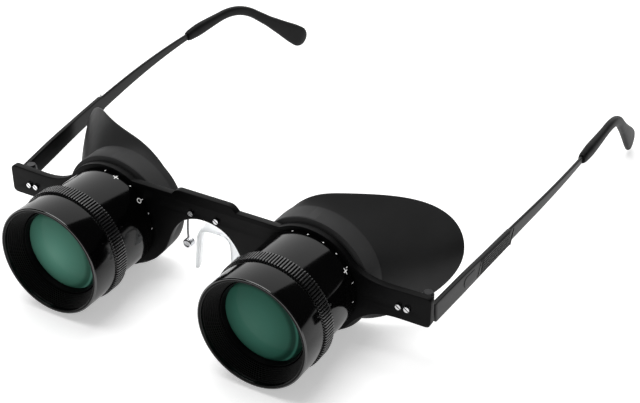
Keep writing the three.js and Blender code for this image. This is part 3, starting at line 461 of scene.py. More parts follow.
def screwPlaces():
    s = screwSet
    places = {}
    for side, sign in sides.items():
        places[f"outer_screw_{side}"] = (sign * s["end"], s["endHeight"])
        places[f"inner_screw_{side}"] = (sign * (s["end"] - s["pitch"]), s["endHeight"])
        places[f"bridge_screw_{side}"] = (sign * s["bridge"], s["bridgeHeight"])
    return places


# The plate is a filled outline with holes, given its thickness and rounded edges as a flat curve
def addFrontFrame():
    s = plate
    curve = bpy.data.curves.new("frame_outline", "CURVE")
    curve.dimensions = "2D"
    curve.fill_mode = "BOTH"
    curve.extrude = (s["thickness"] / 2 - s["edge"]) * mm
    curve.bevel_depth = s["edge"] * mm
    curve.bevel_resolution = 3
    curve.offset = -s["edge"] * mm
    rings = [plateOutline()]
    rings += [arcAround(sign * barrelX, s["bore"], 0, 2 * pi, 121)[:-1] for sign in sides.values()]
    rings += [arcAround(x, screwSet["hole"], 0, 2 * pi, 33)[:-1] + (0, z) for x, z in screwPlaces().values()]
    for ring in rings:
        spline = curve.splines.new("POLY")
        spline.points.add(len(ring) - 1)
        flat = np.column_stack([ring * mm, np.zeros(len(ring)), np.ones(len(ring))])
        spline.points.foreach_set("co", flat.ravel())
        spline.use_cyclic_u = True
    holder = bpy.data.objects.new("frame_outline", curve)
    bpy.context.scene.collection.objects.link(holder)
    bpy.context.view_layer.update()
    mesh = bpy.data.meshes.new_from_object(holder.evaluated_get(bpy.context.evaluated_depsgraph_get()))
    bpy.data.objects.remove(holder)
    co = np.zeros(len(mesh.vertices) * 3)
    mesh.vertices.foreach_get("co", co)
    co = co.reshape(-1, 3)
    upright = np.stack([co[:, 0], s["thickness"] / 2 * mm - co[:, 2], co[:, 1] + axisHeight * mm], -1)
    mesh.vertices.foreach_set("co", upright.ravel())
    finishMesh("frame_plate", mesh, "satin", "frame", ["front_frame"])


# Faces between two distances from the axis and two places along Y take another finish
def paintWithin(piece, x, radius, start, end, finish, inner=0.0):
    mesh = piece.data
    mesh.materials.append(finishes[finish])
    centre = np.zeros(len(mesh.polygons) * 3)
    mesh.polygons.foreach_get("center", centre)
    centre = centre.reshape(-1, 3) / mm
    reach = np.hypot(centre[:, 0] - x, centre[:, 2] - axisHeight)
    within = (reach > inner) & (reach < radius) & (centre[:, 1] > start) & (centre[:, 1] < end)
    index = np.zeros(len(mesh.polygons), np.int32)
    mesh.polygons.foreach_get("material_index", index)
    index[within] = len(mesh.materials) - 1
    mesh.polygons.foreach_set("material_index", index)


# Objective: the hood's and the sleeve's radii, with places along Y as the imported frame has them
objective = {
    "rim": -27.4, "inset": 0.02, "hood": 16.0, "hoodRear": -18.9, "corner": 0.28, "outerCorner": 0.4,
    "innerCorner": 0.5, "lip": 14.8, "shadeStart": 0.6, "shadeMargin": 0.1, "faceMargin": 0.03, "ridges": 9,
    "ridgeStart": 1.1, "overhang": 0.16, "recess": 5.2, "sleeve": 13.5, "sleeveBore": 12.0,
    "sleeveRear": -3.6, "sleeveFront": -17.0,
    "lensBore": 12.7, "clear": 11.7, "ringLength": 1.4, "ringTaper": 0.5, "ringCorner": 0.12,
    "lensEdge": 2.0, "frontSag": 1.7, "rearSag": 0.9,
}


# Hood and sleeve are one profile turned round the axis, whose ridges step inwards towards the lens.
# The lens's faces are parabolas: the sag times one less the square of the share of the radius.
def addObjective(side, x):
    s = objective
    rim = s["rim"] + s["inset"]
    ringFront = s["rim"] + s["recess"]
    lensFront = ringFront + s["ringLength"] + gap
    shoulder = lensFront + s["lensEdge"] + gap
    share = np.repeat(np.arange(s["ridges"] + 1) / s["ridges"], 2)
    radius = s["lip"] + (s["lensBore"] - s["lip"]) * share[1:]
    radius += np.tile([0.0, s["overhang"]], s["ridges"] + 1)[1:]  # each ridge overhangs its groove
    ridgeY = s["rim"] + s["ridgeStart"] + (s["recess"] - s["ridgeStart"]) * share[:-1]
    outline = np.vstack([
        [(s["lip"], rim), (s["hood"], rim), (s["hood"], s["hoodRear"]), (s["sleeve"], s["hoodRear"]),
         (s["sleeve"], s["sleeveRear"]), (s["sleeveBore"], s["sleeveRear"]),
         (s["sleeveBore"], s["sleeveFront"]), (s["clear"], s["sleeveFront"]), (s["clear"], shoulder),
         (s["lensBore"], shoulder), (s["lensBore"], ringFront)],
        np.stack([radius, ridgeY], -1)[::-1]])
    cuts = np.full((len(outline), 1), s["corner"])
    cuts[0], cuts[1] = s["innerCorner"], s["outerCorner"]
    body = f"{side}_objective"
    grid = turnedGrid(softened(outline, cuts), x, columns=240)
    shell = addPiece(f"objective_shell_{side}", [grid], "gloss", body, [f"objective_tube_{side}"], True)
    cornerStart, cornerEnd = s["hood"] - s["outerCorner"], s["rim"] + s["shadeStart"]
    # the hood's inside and its front ring face take the darker, duller finish: painted shade
    paintWithin(shell, x, s["lip"] + s["shadeMargin"], cornerEnd, 0, "inside")
    paintWithin(shell, x, cornerStart, s["rim"], rim + s["faceMargin"], "inside")
    paintWithin(shell, x, s["hood"], s["rim"], cornerEnd, "lip", cornerStart)
    ringOuter, ringRear = s["lensBore"] - gap, ringFront + s["ringLength"]
    ring = softened([(s["clear"] + s["ringTaper"], ringFront), (ringOuter, ringFront), (ringOuter, ringRear),
                     (s["clear"], ringRear)], s["ringCorner"])
    addPiece(f"retaining_ring_{side}", [turnedGrid(ring, x)], "satin", body, [f"lens_ring_{side}"], True)
    share = np.linspace(0, 1, 24)
    face = np.stack([ringOuter * share, lensFront - s["frontSag"] * (1 - share**2)], -1)
    back = np.stack([ringOuter * share, lensFront + s["lensEdge"] + s["rearSag"] * (1 - share**2)], -1)
    lens = turnedGrid(np.vstack([face, back[::-1]]), x)
    addPiece(f"front_lens_{side}", [lens], f"lens_{side}", body, [f"objective_lens_{side}"])


# Focus ring: a knurled band and the smooth skirt behind it, which carries the scale marks
focus = {
    "knurlFront": -18.6, "knurlRear": -14.3, "crest": 16.5, "knurlDepth": 0.5, "teeth": 120,
    "columnsPerTooth": 10, "steepness": 14, "grooveStart": 0.6, "endShare": 0.08, "endDrop": 0.3,
    "skirt": 14.85, "skirtFront": -16.5, "skirtRear": -0.3, "skirtLip": 1.1, "skirtCorner": 0.15,
    "sharpAngle": 30, "shadeDepth": 0.2, "shadeStart": 0.2,
}


# The knurl's radius drops from the crest by a steep S curve of the tooth wave, which has one cosine
# for each tooth, and falls away at both ends of the band by a square
def addFocusRing(side, x):
    s = focus
    columns = s["teeth"] * s["columnsPerTooth"]
    angle = np.linspace(0, 2 * pi, columns, endpoint=False)[None, :]
    wave = 0.5 - 0.5 * np.cos(angle * s["teeth"])
    groove = 1 / (1 + np.exp(-s["steepness"] * (wave - s["grooveStart"])))
    share = np.array([0, 0.03, 0.08, 0.15, 0.85, 0.92, 0.97, 1])[:, None]
    nearEnd = np.clip((s["endShare"] - np.minimum(share, 1 - share)) / s["endShare"], 0, 1)
    radius = s["crest"] - s["knurlDepth"] * groove - s["endDrop"] * nearEnd**2
    y = s["knurlFront"] + (s["knurlRear"] - s["knurlFront"]) * share
    band = np.stack([x + radius * np.cos(angle), y + 0 * angle, axisHeight + radius * np.sin(angle)], -1)
    bore = objective["sleeve"] + gap
    inner = turnedGrid([(bore, s["knurlFront"]), (bore, s["knurlRear"])], x, columns=columns)
    grid = np.concatenate([inner[:1], band, inner[1:]])
    body = f"{side}_focus"
    knurl = addPiece(f"knurled_band_{side}", [grid], "knurl", body, [f"focus_ring_{side}"], True,
                     s["sharpAngle"])
    # the knurl's grooves are painted darker and duller than its crests: painted shade
    paintWithin(knurl, x, s["crest"] - s["shadeDepth"], s["knurlFront"] + s["shadeStart"], 0, "inside")
    guideBore, lipFront = eyepiece["guide"] + gap, s["skirtRear"] - s["skirtLip"]
    profile = softened([(bore, s["skirtFront"]), (s["skirt"], s["skirtFront"]), (s["skirt"], s["skirtRear"]),
                        (guideBore, s["skirtRear"]), (guideBore, lipFront), (bore, lipFront)],
                       s["skirtCorner"])
    addPiece(f"ring_skirt_{side}", [turnedGrid(profile, x)], "gloss", body, closed=True)


# Eyepiece: a guide tube through the frame, its head behind, the rear lens and the lens's ring
eyepiece = {
    "guide": 11.7, "guideBore": 10.6, "guideFront": -16.4, "flange": 13.4, "flangeFront": -3.0,
    "flangeRear": -1.7, "headFront": 2.4, "head": 14.0, "headRear": 5.0, "neck": 12.6, "neckRear": 9.6,
    "seat": 11.3, "seatDepth": 1.0, "corner": 0.2, "lens": 11.0, "lensEdge": 3.0, "sag": 1.0,
    "hollowShare": 0.92, "ring": 1.5, "clear": 9.4, "ringTaper": 0.4, "ringCorner": 0.12,
}


# The rear lens is hollow on both faces: each is a parabola that ends in a flat rim
def addEyepiece(side, x):
    s = eyepiece
    seatY = s["headFront"] + s["seatDepth"]
    profile = softened([
        (s["guideBore"], s["guideFront"]), (s["guide"], s["guideFront"]), (s["guide"], s["flangeFront"]),
        (s["flange"], s["flangeFront"]), (s["flange"], s["flangeRear"]), (s["guide"], s["flangeRear"]),
        (s["guide"], s["headFront"]), (s["head"], s["headFront"]), (s["head"], s["headRear"]),
        (s["neck"], s["headRear"]), (s["neck"], s["neckRear"]), (s["seat"], s["neckRear"]),
        (s["seat"], seatY), (s["guideBore"], seatY)], s["corner"])
    addPiece(f"eyepiece_tube_{side}", [turnedGrid(profile, x)], "satin", "frame", [f"guide_tube_{side}"],
             True)
    front, rear = seatY + gap, seatY + gap + s["lensEdge"]
    share = np.linspace(0, s["hollowShare"], 20)
    face = np.stack([s["lens"] * share, front + s["sag"] * (1 - share**2)], -1)
    back = np.stack([s["lens"] * share, rear - s["sag"] * (1 - share**2)], -1)
    edge = [(s["lens"], front), (s["lens"], rear)]
    lens = turnedGrid(np.vstack([face, edge, back[::-1]]), x, columns=96)
    addPiece(f"rear_lens_{side}", [lens], "glass", "frame", [f"eye_lens_{side}"])
    start, end = rear + gap, rear + gap + s["ring"]
    profile = softened([(s["clear"], start), (s["lens"], start), (s["lens"], end),
                        (s["clear"] + s["ringTaper"], end)], s["ringCorner"])
    ring = turnedGrid(profile, x, columns=96)
    addPiece(f"rear_ring_{side}", [ring], "satin", "frame", [f"eye_lens_ring_{side}"], True)


# Eyecups: a collar, a crease and a wing whose reach and rise depend on the angle
cup = {
    "front": 2.8, "frontCorner": [(-0.5, 0), (-0.15, 0.12), (0, 0.45)], "collar": 17.2, "creaseRise": 6.3,
    "creaseFlare": 0.2, "rim": 17.0, "rimRise": 8.8, "reach": 14.7, "reachAngle": 0.105, "upperSpread": 1.15,
    "lowerSpread": 0.785, "reachCutShare": 0.22, "rise": 17.5, "riseAngle": 0.23, "riseSpread": 1.06,
    "wall": 1.4, "rimWall": 0.9, "neckWall": 2.3, "neckLength": 3.4, "narrowPullShares": (0.22, 0.5),
    "wingPullShares": (0.25, -0.12), "columns": 240, "stations": 26,
}


# The reach is a bell in the angle, one over one plus its square, whose low skirts are cut off. The rise
# is a cosine cubed. The wing is a quadratic curve from the crease to the rim, pulled towards a point
# between them, and its wall is square to it.
def eyecupGrid(sign):
    s = cup
    angle = np.linspace(0, 2 * pi, s["columns"], endpoint=False)
    offReach, offRise = (np.arctan2(np.sin(angle - start), np.cos(angle - start))
                         for start in (s["reachAngle"], s["riseAngle"]))
    spread = np.where(offReach > 0, s["upperSpread"], s["lowerSpread"])
    bell = 1 / (1 + (offReach / spread) ** 2)
    reach = np.maximum(0, (bell - s["reachCutShare"]) / (1 - s["reachCutShare"]))
    rise = np.cos(np.minimum(np.abs(offRise) * s["riseSpread"], pi / 2)) ** 3
    rim = np.stack([s["rim"] + s["reach"] * reach, s["front"] + s["rimRise"] + s["rise"] * rise], -1)
    crease = np.stack([s["collar"] + s["creaseFlare"] * reach, s["front"] + s["creaseRise"] + 0 * reach], -1)
    shares = np.array(s["narrowPullShares"]) + reach[:, None] * np.array(s["wingPullShares"])
    control = crease + (rim - crease) * shares
    t = np.linspace(0, 1, s["stations"])[:, None, None]
    wing = (1 - t) ** 2 * crease + 2 * t * (1 - t) * control + t**2 * rim
    tangent = 2 * (1 - t) * (control - crease) + 2 * t * (rim - control)
    tangent /= np.linalg.norm(tangent, axis=-1, keepdims=True)
    inward = np.stack([-tangent[..., 1], tangent[..., 0]], -1)
    wall = s["wall"] + (s["rimWall"] - s["wall"]) * t
    inside = (wing + inward * wall)[::-1]
    turn = np.linspace(0, pi, 12)[1:-1, None, None]  # the rim's edge is a half circle over the wall
    middle = (wing[-1] + inside[0]) / 2
    lip = middle + (wing[-1] - middle) * np.cos(turn) + tangent[-1] * s["rimWall"] / 2 * np.sin(turn) * 0.9
    neck, head, headRear = (eyepiece[name] + gap for name in ("neck", "head", "headRear"))
    neckRear = headRear + s["neckLength"]

    def evenRings(points):
        return np.repeat(np.array(points, float)[:, None], s["columns"], 1)

    corner = [(s["collar"] + outwards, s["front"] + back) for outwards, back in s["frontCorner"]]
    section = np.concatenate([
        evenRings([(neck, headRear), (head, headRear), (head, s["front"]), *corner]),
        wing, lip, inside, evenRings([(neck + s["neckWall"], neckRear), (neck, neckRear)])])
    x = sign * (barrelX + section[..., 0] * np.cos(angle))
    return np.stack([x, section[..., 1], axisHeight + section[..., 0] * np.sin(angle)], -1)


def addEyecup(side, sign):
    grid = eyecupGrid(sign)
    piece = addPiece(f"winged_eyecup_{side}", [grid], "rubber", "frame", [f"eyecup_{side}"], True, 24)
    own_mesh(piece)


# Temples: the arm's centre line in its hinge's own frame, X outwards, Y back, Z up
temple = {
    "hinge": (64.6, 5.0, 1.2), "offset": 2.4, "lead": 1.4, "centre": 0.14, "shaft": 109.0, "sleeve": 81.5,
    "inward": 3.5, "curveStart": 50.0, "tongue": 9.0, "tongueHeight": 1.5, "tongueThickness": 0.8,
    "tail": 38.8, "blend": 9.0, "panelShares": [0, 0.35, 0.65, 1], "panelHeights": [6.0, 5.9, 5.2, 4.7],
    "panelEnd": 38.0, "panelOuter": 1.0, "panelPower": 0.22, "overlap": 2.0, "cornerShare": 0.01,
    "cornerRise": 0.25, "cornerDepth": 0.2, "strip": 0.9, "stripHeight": 4.4, "endHeight": 2.1,
    "stripPower": 0.4,
}
armSets = {
    "left": {"bow": 0.6, "pitch": 0.0787, "drop": 0.744, "turn": 0.086, "splay": 0.115},
    "right": {"bow": 3.1, "pitch": 0.1445, "drop": 0.768, "turn": 0.121, "splay": -0.027},
}


# The shaft bows up by a parabola and curves inwards by a square; the tail goes straight down and
# inwards, and a quadratic curve joins the two around the bend.
def templeLine(arm, along):
    s = temple
    along = np.asarray(along, float)

    def shaftAt(a):
        curved = np.maximum(0, a - s["curveStart"]) / (s["shaft"] - s["curveStart"])
        bow = 4 * (a / s["shaft"]) * (1 - a / s["shaft"])
        outwards = s["offset"] - s["inward"] * curved**2
        upwards = s["centre"] - s["hinge"][2] + a * np.sin(arm["pitch"]) + arm["bow"] * bow
        return np.stack([outwards, a * np.cos(arm["pitch"]) - s["lead"], upwards], -1)

    bend = shaftAt(np.array(s["shaft"]))
    inward = 2 * s["inward"] / (s["shaft"] - s["curveStart"]) + arm["turn"]
    drop = arm["drop"] - arm["pitch"]
    way = np.array([-np.sin(inward) * np.cos(drop), np.cos(inward) * np.cos(drop), -np.sin(drop)])
    tail = bend + (along - s["shaft"])[:, None] * way
    start, end = shaftAt(np.array(s["shaft"] - s["blend"])), bend + way * s["blend"]
    t = np.clip((along - s["shaft"] + s["blend"]) / (2 * s["blend"]), 0, 1)[:, None]
    blend = (1 - t) ** 2 * start + 2 * t * (1 - t) * bend + t**2 * end
    before = (along <= s["shaft"] - s["blend"])[:, None]
    after = (along >= s["shaft"] + s["blend"])[:, None]
    return np.where(before, shaftAt(along), np.where(after, tail, blend))


# A bar along the arm's line with its sizes outwards, inwards, up and down from that line, turned round
# the hinge by the arm's splay
def armGrid(side, along, outer, inner, above, below, power=0.35, columns=32):
    arm, sign = armSets[side], sides[side]
    along = np.asarray(along, float)
    centre = templeLine(arm, along)
    way = templeLine(arm, along + 0.5) - templeLine(arm, along - 0.5)
    way /= np.linalg.norm(way, axis=1, keepdims=True)
    across = np.cross(way, (0, 0, 1))
    across /= np.linalg.norm(across, axis=1, keepdims=True)
    up = np.cross(across, way)
    outer, inner, above, below = (np.broadcast_to(size, along.shape).astype(float)
                                  for size in (outer, inner, above, below))
    centre = centre + across * ((outer - inner) / 2)[:, None] + up * ((above - below) / 2)[:, None]
    grid = carriedGrid(centre, across, up, (outer + inner) / 2, (above + below) / 2, power, columns)
    turn = -sign * arm["splay"]
    x, y = sign * grid[..., 0], grid[..., 1]
    hx, hy, hz = temple["hinge"]
    turnedX = sign * hx + x * np.cos(turn) - y * np.sin(turn)
    turnedY = hy + x * np.sin(turn) + y * np.cos(turn)
    return np.stack([turnedX, turnedY, hz + axisHeight + grid[..., 2]], -1)


# Panel, strip and tongue follow one another along the arm's line, and the panel's ends are rounded by
# the square root of the distance from them
def addTemple(side, sign):
    s = temple
    body = f"{side}_arm"
    share = np.array([0, 0.003, 0.01, *np.linspace(0.03, 0.97, 40), 0.985, 0.994, 1])
    corner = 1 - np.sqrt(np.clip(np.minimum(share, 1 - share) / s["cornerShare"], 0, 1))
    height = np.interp(share, s["panelShares"], s["panelHeights"]) / 2 - s["cornerRise"] * corner
    outer, inner = s["panelOuter"] - s["cornerDepth"] * corner, s["strip"] / 2
    panel = armGrid(side, s["panelEnd"] * share, outer, inner, height, height, s["panelPower"])
    along = np.linspace(s["panelEnd"] - s["overlap"], s["sleeve"], 90)
    height = np.interp(along, [s["panelEnd"], s["sleeve"]], [s["stripHeight"], s["endHeight"]]) / 2
    strip = armGrid(side, along, inner, inner, height, height, s["stripPower"])
    along = np.linspace(s["sleeve"] - s["overlap"], s["sleeve"] + s["tongue"], 12)
    thick, height = s["tongueThickness"] / 2, s["tongueHeight"] / 2
    blade = armGrid(side, along, thick, thick, height, height)
    grids = [panel, strip, blade]
    addPiece(f"temple_arm_{side}", grids, "lacquer", body, [f"temple_{side}"], sharpAngle=45)
    hingeEye(side, sign, body)
    templeRelief(side, body)


# The knuckle is a ring profile turned round the hinge pin, and the strap a bar from it to the arm
knuckle = {"bore": 0.9, "radius": 1.6, "halfHeight": 0.9, "corner": 0.1, "strapStart": 1.1,
           "strapOverlap": 0.3, "strapHalfDepth": 1.1, "strapHalfHeight": 0.85}


def hingeEye(side, sign, body):
    s = knuckle
    hx, hy, hz = temple["hinge"]
    angle = np.linspace(0, 2 * pi, 40, endpoint=False)[None, :]
    rounded, lower = s["radius"] - s["corner"], s["halfHeight"] - s["corner"]
    radius = np.array([s["bore"], rounded, s["radius"], s["radius"], rounded, s["bore"]])[:, None]
    height = np.array([-s["halfHeight"], -s["halfHeight"], -lower, lower, s["halfHeight"], s["halfHeight"]])
    height = height[:, None]
    eye = np.stack([sign * hx + radius * np.cos(angle), hy + radius * np.sin(angle),
                    hz + axisHeight + height + 0 * angle], -1)
    addPiece(f"temple_knuckle_{side}", [eye], "hinge", body, closed=True)
    turn = -sign * armSets[side]["splay"]
    out = np.array([sign * np.cos(turn), sign * np.sin(turn), 0])
    beside = np.array([-np.sin(turn), np.cos(turn), 0])
    reach = np.linspace(s["strapStart"], temple["offset"] + s["strapOverlap"], 6)[:, None]
    places = np.array([sign * hx, hy, hz + axisHeight]) + reach * out
    strap = carriedGrid(places, np.tile(beside, (6, 1)), np.tile((0, 0, 1), (6, 1)), s["strapHalfDepth"],
                        s["strapHalfHeight"], 0.3, 20)
    addPiece(f"temple_strap_{side}", [strap], "hinge", body)


# Relief on the panel's outer face: fine ridges over a floor painted dark as shade, a slanted bar at each end
# and a pad
relief = {
    "places": [0, 13, 25, 38], "ridgeHalves": [3.0, 2.9, 2.55, 2.3], "ridgeSpanShare": 0.84,
    "floorHalves": [2.85, 2.75, 2.4, 2.15], "floorRise": 0.03, "floorMargin": 0.4, "ridges": 7,
    "start": 22.5, "end": 36.5, "ridgeHalf": 0.11, "ridgeRise": 0.16, "ridgeSink": 0.15, "sink": 0.2,
    "slant": 0.9, "barPlaces": (21.2, 38.0), "barReach": 2.0, "barHalf": 0.3, "barRise": 0.14,
    "padStart": 13.5, "padEnd": 19.5, "padHalf": 1.8, "padRise": 0.12,
}


# Each ridge keeps its share of the panel's height along its way. The pad's ends are rounded by the
# square root of one less the sixth power of the distance from its middle.
def templeRelief(side, body):
    s = relief
    top = temple["panelOuter"]
    grids = []
    for k in range(s["ridges"]):
        level = (k + 0.5) / s["ridges"] * 2 - 1
        along = np.linspace(s["start"], s["end"], 40) + s["slant"] * level
        middle = np.interp(along, s["places"], s["ridgeHalves"]) * s["ridgeSpanShare"] * level
        grids.append(armGrid(side, along, top + s["ridgeRise"], s["ridgeSink"] - top, s["ridgeHalf"] + middle,
                             s["ridgeHalf"] - middle, 0.8, 10))
    share = np.linspace(-1, 1, 12)
    middle = share * s["barReach"]
    for place in s["barPlaces"]:
        grids.append(armGrid(side, place + share * s["slant"], top + s["barRise"], s["sink"] - top,
                             s["barHalf"] + middle, s["barHalf"] - middle, 0.7, 12))
    addPiece(f"temple_ridges_{side}", grids, "ridge", body)
    along = np.linspace(s["padStart"], s["padEnd"], 24)
    fromMiddle = (along - along.mean()) / (along[-1] - along.mean())
    half = s["padHalf"] * np.sqrt(np.clip(1 - fromMiddle**6, 0.02, 1))
    pad = armGrid(side, along, top + s["padRise"], s["sink"] - top, half, half, 0.4, 28)
    addPiece(f"temple_pad_{side}", [pad], "lacquer", body)
    # the floor is a thin sheet under the ridges painted dark: painted shade in the groove
    along = np.linspace(s["start"] - s["floorMargin"], s["end"] + s["floorMargin"], 40)
    half = np.interp(along, s["places"], s["floorHalves"])
    floor = armGrid(side, along, top + s["floorRise"], s["sink"] - top, half, half, 0.3, 20)
    addPiece(f"temple_groove_floor_{side}", [floor], "inside", body)


# Ear tip: a sleeve over the strip's end, the bend and a flat paddle with a round end
tip = {
    "mouthPlaces": [0, 1.0, 2.2], "mouthHeights": [2.87, 3.395, 3.5], "mouthThicknesses": [2.21, 2.6],
    "bellyPlace": 6.0, "bellySwell": 0.7, "bellyThickening": 0.4, "bendHeight": 3.2, "bendThickness": 2.5,
    "paddleGrowth": 4.1, "growthPlaceShares": [0, 0.3, 0.6, 0.85, 1], "growthShares": [0, 0.14, 0.52, 0.9, 1],
    "paddleThickness": 2.6, "endRadius": 4.2, "endShare": 0.98,
}


# The sleeve swells to its belly by a smooth step on either side, three times the square less twice the
# cube. The paddle's end is round: the square root of one less the square of the share of its way.
def addTip(side):
    s, arm = tip, temple
    mouth, end = arm["sleeve"] + gap, arm["shaft"] + arm["tail"]
    bendStart, bendEnd = arm["shaft"] - arm["blend"], arm["shaft"] + arm["blend"]
    paddle = end - s["endRadius"]
    along = np.concatenate([mouth + np.array([0, 0.15, 0.5, 1.0]), np.linspace(mouth + 1.8, bendStart, 30),
                            np.linspace(bendStart, bendEnd, 34)[1:], np.linspace(bendEnd, paddle, 40)[1:],
                            paddle + (end - paddle) * np.sin(np.linspace(0, pi / 2, 12))[1:]])
    belly = mouth + s["bellyPlace"]
    slope = np.where(along < belly, s["bellyPlace"], bendStart - belly)
    swell = np.clip(1 - np.abs(along - belly) / slope, 0, 1)
    swell = swell**2 * (3 - 2 * swell)
    places = [mouth + place for place in s["mouthPlaces"]]
    height = np.interp(along, [*places, bendStart], [*s["mouthHeights"], s["bendHeight"]])
    grow = np.interp((along - bendEnd) / (paddle - bendEnd), s["growthPlaceShares"], s["growthShares"])
    height = (height + swell * s["bellySwell"] + s["paddleGrowth"] * grow) / 2
    thick = np.interp(along, [*places[:2], bendStart, bendEnd, paddle],
                      [*s["mouthThicknesses"], s["bendThickness"], s["bendThickness"], s["paddleThickness"]])
    thick = (thick + swell * s["bellyThickening"]) / 2
    roundEnd = np.sqrt(1 - s["endShare"] * np.clip((along - paddle) / (end - paddle), 0, 1) ** 2)
    height, thick = height * roundEnd, thick * roundEnd
    grid = armGrid(side, along, thick, thick, height, height, 0.8, 36)
    addPiece(f"ear_tip_{side}", [grid], "tip", f"{side}_arm", [f"temple_tip_{side}"], sharpAngle=60)


# Copies a small CAD piece and rounds its edges
def bevelledCopy(node, name, finish, body, width):
    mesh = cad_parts[node].data.copy()
    work = bmesh.new()
    work.from_mesh(mesh)
    bmesh.ops.remove_doubles(work, verts=work.verts, dist=1e-6)
    bmesh.ops.dissolve_limit(work, angle_limit=radians(1), verts=work.verts, edges=work.edges)
    work.to_mesh(mesh)
    work.free()
    piece = finishMesh(name, mesh, finish, body, [node])
    bevel = piece.modifiers.new("rounded edges", "BEVEL")
    bevel.width = width * mm
    bevel.segments = 2
    bevel.limit_method = "ANGLE"
    bevel.angle_limit = radians(40)
    return piece


# Nose piece: a plate behind the bridge, two wires and two round buttons with a dished face
nose = {
    "wire": 0.3, "leaf": 1.0, "leafMargin": 1.2, "leafRise": 0.6, "endShare": 0.9, "endLossShare": 0.6,
    "button": 1.4, "buttonLength": 2.2, "buttonX": 8.7, "buttonHeight": -4.0, "dish": 0.8, "dishDepth": 0.3,
    "rimStart": 0.85, "rimEnd": 1.15, "rimDepth": 0.35, "corner": 0.12,
    "wireShares": [(0, 0), (0.3, 0.02), (0.62, 0.3), (0.9, 0.72), (1, 1)],
}


# The plate is a flat bar with rounded ends; each wire is a round bar on a smooth line down to its button
def addNosePiece():
    s = nose
    leafY = plate["thickness"] + gap + s["leaf"] / 2
    halfWidth = screwSet["bridge"] + screwSet["hole"] + s["leafMargin"]
    halfHeight = screwSet["hole"] + s["leafRise"]
    share = np.array([-1, -0.985, -0.95, -0.8, 0, 0.8, 0.95, 0.985, 1])
    level = axisHeight + screwSet["bridgeHeight"]
    places = np.stack([halfWidth * share, leafY + 0 * share, level + 0 * share], -1)
    intoEnd = np.clip((np.abs(share) - s["endShare"]) / (1 - s["endShare"]), 0, 1)
    ends = np.sqrt(1 - s["endLossShare"] * intoEnd**2)
    leaf = carriedGrid(places, np.tile((0, 1, 0), (9, 1)), np.tile((0, 0, 1), (9, 1)), s["leaf"] / 2,
                       halfHeight * ends, 0.3, 28)
    top, foot = level - halfHeight / 2, axisHeight + s["buttonHeight"] + s["button"] + gap
    padFront = saddle["setback"] - saddle["width"] / 2
    footY = padFront + s["buttonLength"] / 4
    topX = halfWidth - s["wire"]
    aside, down = np.array(s["wireShares"]).T
    wires = []
    for sign in sides.values():
        points = np.stack([sign * (topX + (s["buttonX"] - topX) * aside), leafY + (footY - leafY) * down,
                           top + (foot - top) * down], -1)
        wires.append(roundBarGrid(smoothPath(points, 14), s["wire"], (0, 1, 0)))
    addPiece("nose_bracket_look", [leaf, *wires], "wire", "frame", ["nose_bracket"])
    front = padFront - s["buttonLength"] / 4
    rear, dish = front + s["buttonLength"], front + s["dishDepth"]
    profile = softened([(0, dish), (s["dish"], dish), (s["rimStart"], front), (s["rimEnd"], front),
                        (s["button"], front + s["rimDepth"]), (s["button"], rear), (0, rear)],
                       s["corner"], closed=False)
    for side, sign in sides.items():
        grid = turnedGrid(profile, sign * s["buttonX"], axisHeight + s["buttonHeight"], 40)
        addPiece(f"nose_button_{side}", [grid], "chrome", "frame", [f"nose_mount_{side}"])


# Saddle: one clear strip over the nose; the shares give places, widths and splay from foot to crown
saddle = {
    "legX": 6.8, "legBottom": -13.0, "crown": 1.6, "setback": 7.1, "width": 6.6, "thickness": 1.3,
    "splay": 0.36, "footShare": 0.35,
    "sideShares": [(1.12, 0), (1.1, 0.1), (1.05, 0.3), (1, 0.5), (0.95, 0.7), (0.86, 0.84), (0.68, 0.94),
                   (0.4, 0.985), (0, 1)],
    "widthShares": [0.55, 0.85, 1, 1, 0.95, 0.85, 0.78, 0.75, 0.75],
    "splayShares": [1, 1, 1, 1, 0.9, 0.7, 0.4, 0.1, 0],
}


# A flat bar along a smooth line from one foot over the crown to the other. Its width turns by the splay
# about the line, and both feet are rounded as a circle is.
def addSaddle():
    s = saddle
    out, up = np.array(s["sideShares"]).T
    half = np.stack([s["legX"] * out, s["legBottom"] + (s["crown"] - s["legBottom"]) * up,
                     s["width"] * np.array(s["widthShares"]), s["splay"] * np.array(s["splayShares"])], -1)
    path = smoothPath(np.vstack([half, half[-2::-1] * (-1, 1, 1, -1)]), 8)
    foot = np.clip(np.minimum(np.arange(len(path)), np.arange(len(path))[::-1]) / 7, 0, 1)
    places = np.stack([path[:, 0], s["setback"] + 0 * path[:, 0], axisHeight + path[:, 1]], -1)
    along = np.gradient(places, axis=0)
    along[:, 1] = 0
    along /= np.linalg.norm(along, axis=1, keepdims=True)
    wide = np.stack([np.sin(path[:, 3]), np.cos(path[:, 3]), 0 * path[:, 3]], -1)
    thick = np.cross(along, wide)
    thick /= np.linalg.norm(thick, axis=1, keepdims=True)
    rounded = s["footShare"] + (1 - s["footShare"]) * np.sqrt(1 - (1 - foot) ** 2)
    grid = carriedGrid(places, wide, thick, path[:, 2] / 2 * rounded, s["thickness"] / 2 * rounded, 0.7, 32)
    addPiece("clear_saddle", [grid], "silicone", "frame", ["nose_saddle"], sharpAngle=60)


